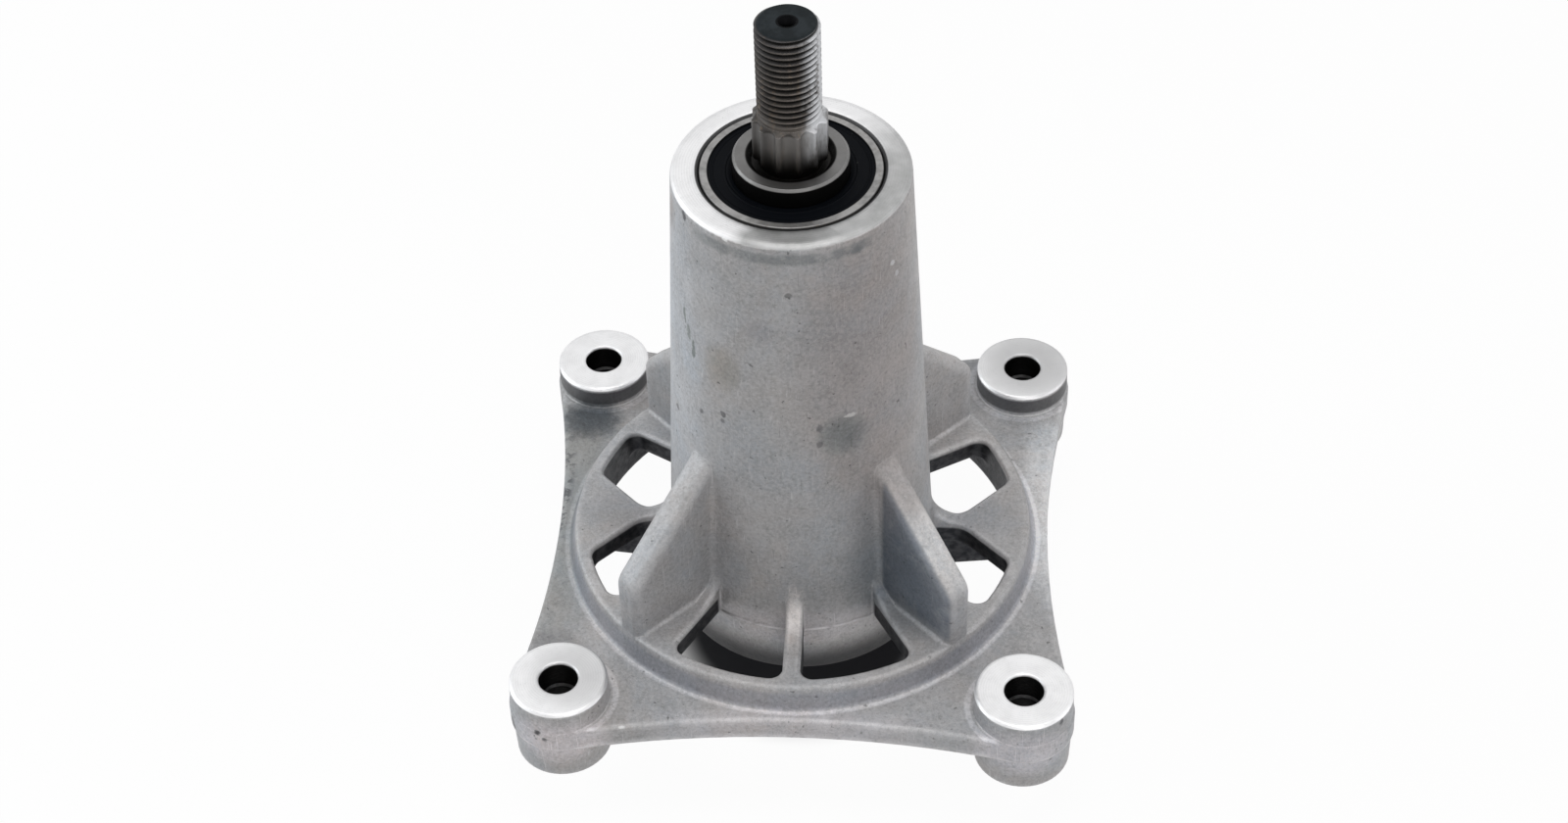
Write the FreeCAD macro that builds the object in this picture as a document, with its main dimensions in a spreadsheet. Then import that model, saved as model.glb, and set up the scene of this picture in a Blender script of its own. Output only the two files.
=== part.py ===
"""Blade hub of a garden mower deck: cast housing, spindle shaft and two sealed ball bearings.

The origin is the centre of the four bolt holes, in the plane of the machined boss tops.
The spindle turns about +Z, the tube and the threaded end point up, the blade end points down.
All lengths are in millimetres.
"""
import FreeCAD
import Part
import Sketcher
import math
import os

# Flange plate, its four bosses and their bolt holes
hole_spacing = 105.0
boss_radius = 11.2
boss_waist_radius = 11.35
foot_radius = 10.9
boss_rise = 6.0
boss_edge_chamfer = 0.5
foot_length = 10.0
foot_edge_chamfer = 0.7
plate_thickness = 5.5
plate_lip = 0.3
plate_bow = 5.7
plate_edge_round = 0.9
hole_radius = 4.5
hole_depth = 7.0
pilot_radius = 4.1
hole_chamfer = 0.25
boss_count = 4

# Raised round web with its windows
web_rise = 6.0
web_thickness = 5.5
web_ring_width = 2.8
web_wall_draft = 1.7
web_ridge_round = 0.8
web_foot_round = 1.2
window_radius = 50.8
window_corner = 3.0
recess_round = 2.0
spoke_half_width = 2.0
spoke_flare_start = 38.2
spoke_flare_round = 6.0
brace_half_inner = 4.7
brace_half_outer = 11.1
web_fillet = 7.5
window_edge_round = 0.8
spoke_keel = 9.0

# Gussets on the diagonals
gusset_half_width = 3.4
gusset_top = 40.0
gusset_shoulder = 15.5
gusset_corner = 5.0
gusset_edge_round = 1.8
gusset_root_round = 1.2
gusset_root_bite = 0.05

# Tube and hub
tube_height = 106.9
tube_top_radius = 25.85
tube_base_radius = 31.05
rim_round = 1.1
hub_length = 8.5
hub_step = 0.35
hub_end_radius = 30.8
hub_edge_chamfer = 0.8
seat_chamfer = 0.35
shoulder_radius = 18.0
shoulder_length = 3.0
core_top_radius = 19.6
core_base_radius = 23.5

# Ball bearings
bearing_radius = 20.0
bearing_bore_radius = 8.5
bearing_width = 12.0
bearing_chamfer = 0.5
pitch_radius = 14.4
ball_radius = 3.37
ball_clearance = 0.05
groove_radius = 3.52
inner_land_radius = 12.5
outer_land_radius = 16.3
inner_ring_extension = 4.0
inner_ring_lead = 1.0
seal_radius = 17.9
seal_depth = 0.3
seal_thickness = 0.9
seal_gap = 0.12
cage_inner_radius = 13.1
cage_outer_radius = 15.7
cage_sheet = 0.6
cage_clearance = 0.1
rivet_radius = 0.55
rivet_head = 0.25
ball_count = 8

# Spindle shaft and the spacer between the bearings
shaft_rise = 38.5
thread_radius = 6.9
thread_length = 23.4
thread_end_chamfer = 1.05
thread_end_height = 0.7
centre_mouth_radius = 1.95
centre_pilot_radius = 0.8
centre_depth = 4.6
spline_radius = 8.16
spline_chamfer = 0.9
flute_radius = 2.1
flute_depth = 1.0
neck_radius = 7.1
neck_length = 1.8
collar_radius = 12.5
collar_length = 4.0
collar_chamfer = 0.5
blade_drive_length = 8.0
blade_end_chamfer = 0.8
tapped_radius = 4.25
tapped_depth = 28.0
tapped_chamfer = 0.8
spacer_radius = 11.6
spacer_clearance = 0.05
flute_count = 12

document = FreeCAD.newDocument("BladeHub")
sheet = document.addObject("Spreadsheet::Sheet", "Sizes")


class Size:
    """A length or count with its value and the sheet expression that it comes from."""

    def __init__(self, value, text):
        self.value = float(value)
        self.text = text

    def __add__(self, other):
        other = as_size(other)
        return Size(self.value + other.value, "(%s + %s)" % (self.text, other.text))

    def __sub__(self, other):
        other = as_size(other)
        return Size(self.value - other.value, "(%s - %s)" % (self.text, other.text))

    def __mul__(self, other):
        other = as_size(other)
        return Size(self.value * other.value, "(%s * %s)" % (self.text, other.text))

    def __truediv__(self, other):
        other = as_size(other)
        return Size(self.value / other.value, "(%s / %s)" % (self.text, other.text))

    def __radd__(self, other):
        return as_size(other) + self

    def __rsub__(self, other):
        return as_size(other) - self

    def __rmul__(self, other):
        return as_size(other) * self

    def __neg__(self):
        return as_size(0) - self


def as_size(thing):
    """A Size stays as it is and a plain number becomes one."""
    if isinstance(thing, Size):
        return thing
    return Size(thing, "%.9g" % thing)


def square_root(size):
    return Size(math.sqrt(size.value), "sqrt(%s)" % size.text)


def into_sheet(driving):
    """Write the driving sizes into the sheet. Each name then stands for its sheet cell."""
    for row, (name, value) in enumerate(driving.items(), 1):
        sheet.set("A%d" % row, name)
        sheet.set("B%d" % row, "%g" % value)
        sheet.setAlias("B%d" % row, name)
        globals()[name] = Size(value, "Sizes." + name)


into_sheet({name: value for name, value in globals().items() if isinstance(value, float)})

# Levels along the spindle axis, from the plane of the boss tops
plate_top = -boss_rise
plate_bottom = plate_top - plate_thickness
web_top = plate_top + web_rise
web_bottom = web_top - web_thickness
foot_bottom = plate_bottom - foot_length
hub_bottom = plate_bottom - hub_length
upper_bearing = tube_height - bearing_width / 2
lower_bearing = hub_bottom + bearing_width / 2
shaft_top = tube_height + shaft_rise
thread_bottom = shaft_top - thread_length
seat_top = tube_height + inner_ring_extension - inner_ring_lead - neck_length / 4
neck_top = seat_top + neck_length
collar_top = hub_bottom - inner_ring_extension
collar_bottom = collar_top - collar_length
shaft_bottom = collar_bottom - blade_drive_length

half_spacing = hole_spacing / 2
web_ridge_radius = window_radius + web_ring_width
web_foot_radius = web_ridge_radius + web_wall_draft
diagonal = square_root(as_size(0.5))
plate_corner_radius = boss_waist_radius + plate_lip
tube_slope = (tube_base_radius - tube_top_radius) / (tube_height - web_top)


def new_body(label):
    body = document.addObject("PartDesign::Body", label)
    body.Label = label
    return body


def origin_feature(body, role):
    for feature in body.Origin.OriginFeatures:
        if feature.Role == role:
            return feature
    raise ValueError("no origin feature " + role)


def bind(thing, name, size):
    """Set a property and tie it to its sheet expression."""
    size = as_size(size)
    thing.setExpression(name, size.text)


def new_sketch(body, name, role, level=None, turn=0.0, spin=0.0):
    """Sketch on an origin plane, lifted along its normal.

    It is turned about its own Y axis by turn degrees, or about its normal by spin degrees.
    """
    sketch = body.newObject("Sketcher::SketchObject", name)
    sketch.AttachmentSupport = [(origin_feature(body, role), "")]
    sketch.MapMode = "FlatFace"
    lift = 0.0 if level is None else level.value
    turned = FreeCAD.Rotation(FreeCAD.Vector(0, 1, 0), turn)
    turned = turned.multiply(FreeCAD.Rotation(FreeCAD.Vector(0, 0, 1), spin))
    sketch.AttachmentOffset = FreeCAD.Placement(FreeCAD.Vector(0, 0, lift), turned)
    if level is not None:
        bind(sketch, "AttachmentOffset.Base.z", level)
    return sketch


def constrain(sketch, constraint, size=None):
    """Add a constraint, tied to a size where it has one."""
    index = sketch.addConstraint(constraint)
    if size is not None:
        sketch.setExpression("Constraints[%d]" % index, as_size(size).text)
    return index


def fix_point(sketch, geometry, end, x, y):
    """Hold a point at x, y from the sketch origin."""
    x = as_size(x)
    y = as_size(y)
    if x.text == "0":
        constrain(sketch, Sketcher.Constraint("PointOnObject", geometry, end, -2))
    else:
        constrain(sketch, Sketcher.Constraint("DistanceX", -1, 1, geometry, end, x.value), x)
    if y.text == "0":
        constrain(sketch, Sketcher.Constraint("PointOnObject", geometry, end, -1))
    else:
        constrain(sketch, Sketcher.Constraint("DistanceY", -1, 1, geometry, end, y.value), y)


def sketch_arc(centre, radius, start, end):
    """Counter-clockwise arc from the direction of start to the direction of end."""
    first = math.atan2(start.y - centre.y, start.x - centre.x)
    last = math.atan2(end.y - centre.y, end.x - centre.x)
    if last <= first:
        last += 2 * math.pi
    circle = Part.Circle(centre, FreeCAD.Vector(0, 0, 1), radius)
    return Part.ArcOfCircle(circle, first, last)


def outline(sketch, corners):
    """Closed outline of straight lines. A corner is (x, y) or (x, y, round radius)."""
    count = len(corners)
    points = [FreeCAD.Vector(as_size(c[0]).value, as_size(c[1]).value, 0) for c in corners]
    starts = list(points)
    ends = list(points)
    arcs = {}
    for i, corner in enumerate(corners):
        if len(corner) < 3:
            continue
        radius = as_size(corner[2]).value
        back = (points[i - 1] - points[i]).normalize()
        ahead = (points[(i + 1) % count] - points[i]).normalize()
        half = back.getAngle(ahead) / 2
        reach = radius / math.tan(half)
        ends[i] = points[i] + back * reach
        starts[i] = points[i] + ahead * reach
        centre = points[i] + (back + ahead).normalize() * (radius / math.sin(half))
        left_turn = ahead.cross(back).z > 0
        arcs[i] = (centre, radius, left_turn)
    lines = []
    for i in range(count):
        line = Part.LineSegment(starts[i], ends[(i + 1) % count])
        lines.append(sketch.addGeometry(line, False))
    for i, corner in enumerate(corners):
        before = lines[i - 1]
        after = lines[i]
        if i not in arcs:
            constrain(sketch, Sketcher.Constraint("Coincident", before, 2, after, 1))
            fix_point(sketch, after, 1, corner[0], corner[1])
            continue
        centre, radius, left_turn = arcs[i]
        if left_turn:
            arc = sketch.addGeometry(sketch_arc(centre, radius, ends[i], starts[i]), False)
            enter, leave = 1, 2
        else:
            arc = sketch.addGeometry(sketch_arc(centre, radius, starts[i], ends[i]), False)
            enter, leave = 2, 1
        mark = sketch.addGeometry(Part.Point(points[i]), True)
        fix_point(sketch, mark, 1, corner[0], corner[1])
        constrain(sketch, Sketcher.Constraint("PointOnObject", mark, 1, before))
        constrain(sketch, Sketcher.Constraint("PointOnObject", mark, 1, after))
        constrain(sketch, Sketcher.Constraint("Tangent", before, 2, arc, enter))
        constrain(sketch, Sketcher.Constraint("Tangent", arc, leave, after, 1))
        constrain(sketch, Sketcher.Constraint("Radius", arc, radius), corner[2])
    return sketch


def add_axis(sketch, x):
    """Upright construction line at x, the first axis of the sketch."""
    x = as_size(x)
    low = FreeCAD.Vector(x.value, -1, 0)
    high = FreeCAD.Vector(x.value, 1, 0)
    line = sketch.addGeometry(Part.LineSegment(low, high), True)
    constrain(sketch, Sketcher.Constraint("Vertical", line))
    fix_point(sketch, line, 1, x, -1)
    constrain(sketch, Sketcher.Constraint("DistanceY", line, 1, line, 2, 2.0))


def revolve(body, name, sketch, axis="V_Axis", cut=False):
    kind = "PartDesign::Groove" if cut else "PartDesign::Revolution"
    feature = body.newObject(kind, name)
    feature.Profile = sketch
    feature.ReferenceAxis = (sketch, [axis])
    feature.Angle = 360
    sketch.Visibility = False
    return feature


def pad(body, name, sketch, length, symmetric=False, downward=False):
    feature = body.newObject("PartDesign::Pad", name)
    feature.Profile = sketch
    if symmetric:
        feature.SideType = "Symmetric"
    feature.Reversed = downward
    bind(feature, "Length", length)
    sketch.Visibility = False
    return feature


def pocket(body, name, sketch, length=None, upward=False):
    feature = body.newObject("PartDesign::Pocket", name)
    feature.Profile = sketch
    feature.Reversed = upward
    if length is None:
        feature.Type = "ThroughAll"
    else:
        bind(feature, "Length", length)
    sketch.Visibility = False
    return feature


def polar(body, name, feature, count, whole_body=False):
    """Repeat a feature evenly about the spindle axis."""
    pattern = body.newObject("PartDesign::PolarPattern", name)
    pattern.Originals = [] if whole_body else [feature]
    if whole_body:
        document.recompute()
        pattern.TransformMode = "Whole shape"
    pattern.Axis = (origin_feature(body, "Z_Axis"), [""])
    pattern.Angle = 360
    pattern.Occurrences = count
    body.Tip = pattern
    return pattern


def round_edges(body, name, base, chosen, radius):
    """Fillet the edges of base for which chosen(edge) is true."""
    document.recompute()
    names = ["Edge%d" % (i + 1) for i, edge in enumerate(base.Shape.Edges) if chosen(edge)]
    fillet = body.newObject("PartDesign::Fillet", name)
    fillet.Base = (base, names)
    bind(fillet, "Radius", radius)
    return fillet


def middle_of(edge):
    return edge.valueAt((edge.FirstParameter + edge.LastParameter) / 2)


# Housing


def add_gussets(body):
    """Four triangular gussets on the diagonals, from the tube down to the rim of the web."""
    sketch = new_sketch(body, "GussetProfile", "XZ_Plane", turn=45)
    root = web_top - web_thickness / 2
    outline(sketch, [
        (0, root),
        (web_ridge_radius, root),
        (web_ridge_radius, gusset_shoulder, gusset_corner),
        (tube_base_radius - tube_slope * gusset_top, gusset_top),
        (0, gusset_top),
    ])
    gusset = pad(body, "Gusset", sketch, gusset_half_width * 2, symmetric=True)

    def outer_edge(edge):
        along = edge.tangentAt(edge.FirstParameter)
        across = FreeCAD.Vector(-1, 1, 0).normalize()
        middle = middle_of(edge)
        reach = math.hypot(middle.x, middle.y)
        outside = reach > gusset_half_width.value * 2
        return abs(along.dot(across)) < 0.1 and middle.z > root.value + 0.1 and outside

    round_edges(body, "GussetRound", gusset, outer_edge, gusset_edge_round)
    add_gusset_roots(body)
    polar(body, "Gussets", None, boss_count, whole_body=True)


def add_gusset_roots(body):
    """Hollow rounds between a gusset and the web below it, and between it and the leaning tube.

    Each round reaches a little into the two faces that it joins.
    """
    face = gusset_half_width - gusset_root_bite
    centre_y = face + gusset_root_round
    outer_y = centre_y + gusset_root_bite
    foot = web_top - gusset_root_bite
    web_root = new_sketch(body, "WebRootProfile", "YZ_Plane", turn=-45)
    outline(web_root, [
        (-outer_y, web_top - web_thickness / 2),
        (outer_y, web_top - web_thickness / 2),
        (outer_y, foot),
        (face, foot, gusset_root_round),
        (face, foot + gusset_root_round + gusset_root_bite),
        (-face, foot + gusset_root_round + gusset_root_bite),
        (-face, foot, gusset_root_round),
        (-outer_y, foot),
    ])
    pad(body, "WebRoot", web_root, web_ridge_radius - gusset_edge_round)

    wall = tube_base_radius - gusset_root_bite
    reach = wall + gusset_root_round
    centre_x = square_root(reach * reach - centre_y * centre_y)
    corner_x = (wall * reach - face * centre_y) / centre_x
    touch_x = (centre_x * wall - centre_y * gusset_root_bite) / reach
    touch_y = (centre_y * wall + centre_x * gusset_root_bite) / reach
    inside = (tube_base_radius + core_base_radius) / 2
    beyond = centre_x + gusset_root_bite
    tube_root = new_sketch(body, "TubeRootProfile", "XY_Plane", web_top, spin=45)
    outline(tube_root, [
        (inside, -touch_y),
        (touch_x, -touch_y),
        (corner_x, -face, gusset_root_round),
        (beyond, -face),
        (beyond, face),
        (corner_x, face, gusset_root_round),
        (touch_x, touch_y),
        (inside, touch_y),
    ])
    root = pad(body, "TubeRoot", tube_root, gusset_top - gusset_half_width * 2)
    root.UseCustomVector = True
    root.AlongSketchNormal = True
    for name in ("Direction.x", "Direction.y"):
        bind(root, name, tube_slope * diagonal * -1)


def add_plate(body):
    """Square flange with hollow sides that run tangent into the round corners."""
    bow_radius = (half_spacing * half_spacing
                  + (plate_corner_radius - plate_bow) * (plate_corner_radius - plate_bow)
                  - plate_corner_radius * plate_corner_radius) / (2 * plate_bow)
    sketch = new_sketch(body, "PlateOutline", "XY_Plane", plate_top)
    half = half_spacing.value
    corner = plate_corner_radius.value
    bow = bow_radius.value
    away = half + corner - plate_bow.value + bow
    side_arcs = []
    corner_arcs = []
    for side in range(4):
        heading = math.radians(90 * side)
        out = FreeCAD.Vector(math.cos(heading), math.sin(heading), 0)
        left = FreeCAD.Vector(-out.y, out.x, 0)
        centre = out * away
        next_centre = left * away
        first = out * half - left * half
        last = out * half + left * half
        to_first = (first - centre).normalize()
        to_last = (last - centre).normalize()
        onward = (next_centre - last).normalize()
        hollow = sketch_arc(centre, bow, centre + to_last * bow, centre + to_first * bow)
        bulge = sketch_arc(last, corner, last - to_last * corner, last + onward * corner)
        side_arcs.append(sketch.addGeometry(hollow, False))
        corner_arcs.append(sketch.addGeometry(bulge, False))
    signs = [(1, 1), (-1, 1), (-1, -1), (1, -1)]
    for side in range(4):
        hollow = side_arcs[side]
        bulge = corner_arcs[side]
        following = side_arcs[(side + 1) % 4]
        x_sign, y_sign = signs[side]
        fix_point(sketch, bulge, 3, half_spacing * x_sign, half_spacing * y_sign)
        constrain(sketch, Sketcher.Constraint("Radius", bulge, corner), plate_corner_radius)
        constrain(sketch, Sketcher.Constraint("Radius", hollow, bow), bow_radius)
        constrain(sketch, Sketcher.Constraint("Tangent", hollow, 1, bulge, 1))
        constrain(sketch, Sketcher.Constraint("Tangent", bulge, 2, following, 2))
    plate = pad(body, "Plate", sketch, plate_thickness, downward=True)

    def outer_edge(edge):
        if not hasattr(edge.Curve, "Center"):
            return False
        centre = edge.Curve.Center
        aside = math.hypot(centre.x, centre.y) > 1
        box = edge.BoundBox
        level = box.ZLength < 0.01 and abs(box.ZMin - plate_top.value) < 0.01
        return aside and level

    round_edges(body, "PlateRound", plate, outer_edge, plate_edge_round)


def add_web(body):
    """Raised round web: hollow fillet round the tube, drafted wall and rounded foot."""
    sketch = new_sketch(body, "WebProfile", "XZ_Plane")
    skirt = web_foot_radius + web_foot_round
    fillet_wall = tube_base_radius - tube_slope * web_fillet
    outline(sketch, [
        (0, web_top + web_fillet),
        (fillet_wall, web_top + web_fillet),
        (fillet_wall, web_top, web_fillet - 0.02),
        (web_ridge_radius, web_top, web_ridge_round),
        (web_foot_radius, plate_top, web_foot_round),
        (skirt, plate_top),
        (skirt, plate_top - plate_thickness / 2),
        (0, plate_top - plate_thickness / 2),
    ])
    revolve(body, "Web", sketch)


def to_vector(point):
    return FreeCAD.Vector(as_size(point[0]).value, as_size(point[1]).value, 0)


def corner_round(inner, outer, inside_left):
    """Round between the straight side of a window and its outer arc.

    The answer is its centre, its end on the side and its end on the arc. inside_left is true where
    the window lies to the left of the line from inner to outer.
    """
    along = (outer - inner).normalize()
    normal = FreeCAD.Vector(-along.y, along.x, 0)
    if not inside_left:
        normal = normal * -1
    base = inner + normal * window_corner.value
    reach = window_radius.value - window_corner.value
    b = base.dot(along)
    c = base.dot(base) - reach * reach
    centre = base + along * (-b + math.sqrt(b * b - c))
    on_side = centre - normal * window_corner.value
    on_arc = centre * (window_radius.value / reach)
    return centre, on_side, on_arc


def mark_on(sketch, point, *lines):
    """Construction point at the given place, through which the lines pass."""
    mark = sketch.addGeometry(Part.Point(to_vector(point)), True)
    fix_point(sketch, mark, 1, point[0], point[1])
    for line in lines:
        constrain(sketch, Sketcher.Constraint("PointOnObject", mark, 1, line))


def plain_side(sketch, edge, end):
    """Straight side of a window, from its inner point outwards."""
    line = sketch.addGeometry(Part.LineSegment(to_vector(edge[0]), end), False)
    fix_point(sketch, line, 1, edge[0][0], edge[0][1])
    mark_on(sketch, edge[1], line)
    return line, line


def flared_side(sketch, edge, end, corner_left):
    """Side of a window along a spoke that widens outwards after a rounded kink."""
    inner, kink = to_vector(edge[0]), to_vector(edge[1])
    radius = spoke_flare_round.value
    back = (inner - kink).normalize()
    ahead = (end - kink).normalize()
    half = back.getAngle(ahead) / 2
    reach = radius / math.tan(half)
    first_end = kink + back * reach
    second_start = kink + ahead * reach
    centre = kink + (back + ahead).normalize() * (radius / math.sin(half))
    first = sketch.addGeometry(Part.LineSegment(inner, first_end), False)
    second = sketch.addGeometry(Part.LineSegment(second_start, end), False)
    if corner_left:
        arc = sketch.addGeometry(sketch_arc(centre, radius, first_end, second_start), False)
        enter, leave = 1, 2
    else:
        arc = sketch.addGeometry(sketch_arc(centre, radius, second_start, first_end), False)
        enter, leave = 2, 1
    fix_point(sketch, first, 1, edge[0][0], edge[0][1])
    mark_on(sketch, edge[1], first, second)
    mark_on(sketch, edge[2], second)
    constrain(sketch, Sketcher.Constraint("Tangent", first, 2, arc, enter))
    constrain(sketch, Sketcher.Constraint("Tangent", arc, leave, second, 1))
    constrain(sketch, Sketcher.Constraint("Radius", arc, radius), spoke_flare_round)
    return first, second


def window_side(sketch, edge, end, corner_left):
    """The first and the last line of a side, which has two points or, where it flares, three."""
    if len(edge) == 2:
        return plain_side(sketch, edge, end)
    return flared_side(sketch, edge, end, corner_left)


def window(sketch, low_edge, high_edge):
    """One window of the web, between a spoke and a brace, closed inside the tube wall.

    low_edge and high_edge are the points of its two long sides, each from the inner point outwards,
    in counter-clockwise order. The outer side is an arc about the spindle axis.
    """
    big = window_radius.value
    small = window_corner.value
    low_points = [to_vector(point) for point in low_edge]
    high_points = [to_vector(point) for point in high_edge]
    low_centre, low_end, low_arc = corner_round(low_points[-2], low_points[-1], True)
    high_centre, high_end, high_arc = corner_round(high_points[-2], high_points[-1], False)
    low_first, low_last = window_side(sketch, low_edge, low_end, True)
    high_first, high_last = window_side(sketch, high_edge, high_end, False)
    hub = FreeCAD.Vector(0, 0, 0)
    low_round = sketch.addGeometry(sketch_arc(low_centre, small, low_end, low_arc), False)
    rim = sketch.addGeometry(sketch_arc(hub, big, low_arc, high_arc), False)
    high_round = sketch.addGeometry(sketch_arc(high_centre, small, high_arc, high_end), False)
    closing = sketch.addGeometry(Part.LineSegment(high_points[0], low_points[0]), False)
    constrain(sketch, Sketcher.Constraint("Coincident", rim, 3, -1, 1))
    constrain(sketch, Sketcher.Constraint("Radius", rim, big), window_radius)
    constrain(sketch, Sketcher.Constraint("Tangent", low_last, 2, low_round, 1))
    constrain(sketch, Sketcher.Constraint("Tangent", low_round, 2, rim, 1))
    constrain(sketch, Sketcher.Constraint("Tangent", rim, 2, high_round, 1))
    constrain(sketch, Sketcher.Constraint("Tangent", high_round, 2, high_last, 2))
    constrain(sketch, Sketcher.Constraint("Radius", low_round, small), window_corner)
    constrain(sketch, Sketcher.Constraint("Radius", high_round, small), window_corner)
    constrain(sketch, Sketcher.Constraint("Coincident", high_first, 1, closing, 1))
    constrain(sketch, Sketcher.Constraint("Coincident", closing, 2, low_first, 1))


def cut_windows(body):
    """Round recess below the web and eight windows through it."""
    recess = new_sketch(body, "RecessProfile", "XZ_Plane")
    outline(recess, [
        (0, plate_bottom - 1),
        (window_radius, plate_bottom - 1),
        (window_radius, web_bottom, recess_round),
        (0, web_bottom),
    ])
    revolve(body, "Recess", recess, cut=True)

    inner = (tube_base_radius + core_base_radius) / 2
    above_fillet = web_top + web_fillet + 1
    flare_height = window_radius - spoke_flare_start + spoke_half_width
    fillet_reach = tube_base_radius + web_fillet

    def brace_point(along, half_width, upper):
        """Point beside the diagonal, on its upper or lower side, as X and Y."""
        near = (along - half_width) * diagonal
        far = (along + half_width) * diagonal
        return (near, far) if upper else (far, near)

    below = [brace_point(inner, brace_half_inner, False),
             brace_point(window_radius, brace_half_outer, False)]
    above = [brace_point(inner, brace_half_inner, True),
             brace_point(window_radius, brace_half_outer, True)]
    flared = [(inner, spoke_half_width),
              (spoke_flare_start, spoke_half_width),
              (window_radius, flare_height)]
    straight = [(spoke_half_width, inner), (spoke_half_width, window_radius)]

    def flip_y(points):
        return [(x, -as_size(y)) for x, y in points]

    def flip_x(points):
        return [(-as_size(x), y) for x, y in points]

    sides = new_sketch(body, "SideWindows", "XY_Plane", above_fillet)
    window(sides, flared, below)
    window(sides, flip_y(below), flip_y(flared))
    side_pocket = pocket(body, "SideWindow", sides)
    polar(body, "SideWindowPair", side_pocket, 2)

    ends = new_sketch(body, "EndWindows", "XY_Plane", above_fillet)
    window(ends, above, straight)
    window(ends, flip_x(straight), flip_x(above))
    end_pocket = pocket(body, "EndWindow", ends)
    pair = polar(body, "EndWindowPair", end_pocket, 2)

    def top_edge(edge):
        box = edge.BoundBox
        low_enough = box.ZMin > web_top.value - 0.01 and box.ZMax < web_top.value + 0.01
        reach = math.hypot(middle_of(edge).x, middle_of(edge).y)
        off_diagonal = abs(abs(middle_of(edge).x) - abs(middle_of(edge).y)) * diagonal.value
        beside_brace = off_diagonal > brace_half_inner.value
        in_reach = fillet_reach.value + 0.05 < reach < window_radius.value + 0.1
        return low_enough and in_reach and beside_brace

    body.Tip = round_edges(body, "WindowRound", pair, top_edge, window_edge_round)


def add_tube(body):
    """Tapered tube with a rounded rim, and the hub below the web."""
    sketch = new_sketch(body, "TubeProfile", "XZ_Plane")
    outline(sketch, [
        (0, tube_height),
        (tube_top_radius, tube_height, rim_round),
        (tube_base_radius, web_top),
        (tube_base_radius, web_bottom),
        (tube_base_radius + hub_step, web_bottom),
        (hub_end_radius, hub_bottom + hub_edge_chamfer),
        (hub_end_radius - hub_edge_chamfer, hub_bottom),
        (0, hub_bottom),
    ])
    revolve(body, "Tube", sketch)


def add_keels(body):
    """Keel below each axis spoke, deepest at the hub."""
    sketch = new_sketch(body, "KeelProfile", "XZ_Plane")
    inside = (tube_base_radius + core_base_radius) / 2
    outline(sketch, [
        (inside, web_bottom + web_thickness / 2),
        (window_radius + 1, web_bottom + web_thickness / 2),
        (window_radius + 1, plate_bottom + plate_thickness / 2),
        (window_radius, plate_bottom),
        (inside, web_bottom - spoke_keel),
    ])
    keel = pad(body, "Keel", sketch, spoke_half_width * 2 - 0.4, symmetric=True)
    polar(body, "Keels", keel, 4)


def add_bosses(body):
    """Round boss at each corner, from the machined top to the foot below the plate."""
    sketch = new_sketch(body, "BossProfile", "XZ_Plane", half_spacing)
    add_axis(sketch, half_spacing)
    outline(sketch, [
        (half_spacing, 0),
        (half_spacing + boss_radius - boss_edge_chamfer, 0),
        (half_spacing + boss_radius, -boss_edge_chamfer),
        (half_spacing + boss_waist_radius, plate_top - plate_thickness / 2),
        (half_spacing + foot_radius, foot_bottom + foot_edge_chamfer),
        (half_spacing + foot_radius - foot_edge_chamfer, foot_bottom),
        (half_spacing, foot_bottom),
    ])
    boss = revolve(body, "Boss", sketch, axis="Axis0")
    polar(body, "Bosses", boss, boss_count)


def cut_bore(body):
    """Two bearing seats, their shoulders and the cored cavity between them."""
    sketch = new_sketch(body, "BoreProfile", "XZ_Plane")
    upper_shoulder = tube_height - bearing_width
    lower_shoulder = hub_bottom + bearing_width
    core_draft = core_top_radius - shoulder_radius
    outline(sketch, [
        (0, tube_height + 1),
        (bearing_radius + seat_chamfer + 1, tube_height + 1),
        (bearing_radius, tube_height - seat_chamfer),
        (bearing_radius, upper_shoulder),
        (shoulder_radius, upper_shoulder),
        (shoulder_radius, upper_shoulder - shoulder_length),
        (core_top_radius, upper_shoulder - shoulder_length - core_draft),
        (core_base_radius, lower_shoulder + shoulder_length + core_base_radius - shoulder_radius),
        (shoulder_radius, lower_shoulder + shoulder_length),
        (shoulder_radius, lower_shoulder),
        (bearing_radius, lower_shoulder),
        (bearing_radius, hub_bottom + seat_chamfer),
        (bearing_radius + seat_chamfer + 1, hub_bottom - 1),
        (0, hub_bottom - 1),
    ])
    revolve(body, "Bore", sketch, cut=True)


def cut_bolt_holes(body):
    """Stepped bolt hole through each boss."""
    sketch = new_sketch(body, "BoltHoleProfile", "XZ_Plane", half_spacing)
    add_axis(sketch, half_spacing)
    step = hole_radius - pilot_radius
    outline(sketch, [
        (half_spacing, 1),
        (half_spacing + hole_radius + hole_chamfer + 1, 1),
        (half_spacing + hole_radius, -hole_chamfer),
        (half_spacing + hole_radius, -hole_depth),
        (half_spacing + pilot_radius, -hole_depth - step),
        (half_spacing + pilot_radius, foot_bottom - 1),
        (half_spacing, foot_bottom - 1),
    ])
    hole = revolve(body, "BoltHole", sketch, axis="Axis0", cut=True)
    polar(body, "BoltHoles", hole, boss_count)


def make_housing():
    body = new_body("housing")
    add_gussets(body)
    add_plate(body)
    add_web(body)
    cut_windows(body)
    add_tube(body)
    add_keels(body)
    add_bosses(body)
    cut_bore(body)
    cut_bolt_holes(body)
    return [body]


# Bearings


def ring_body(label, corners, level):
    """Revolved ring from a half profile drawn about its own middle plane."""
    body = new_body(label)
    sketch = new_sketch(body, label + "_profile", "XZ_Plane")
    outline(sketch, corners)
    revolve(body, label + "_ring", sketch)
    bind(body, "Placement.Base.z", level)
    return body


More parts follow.
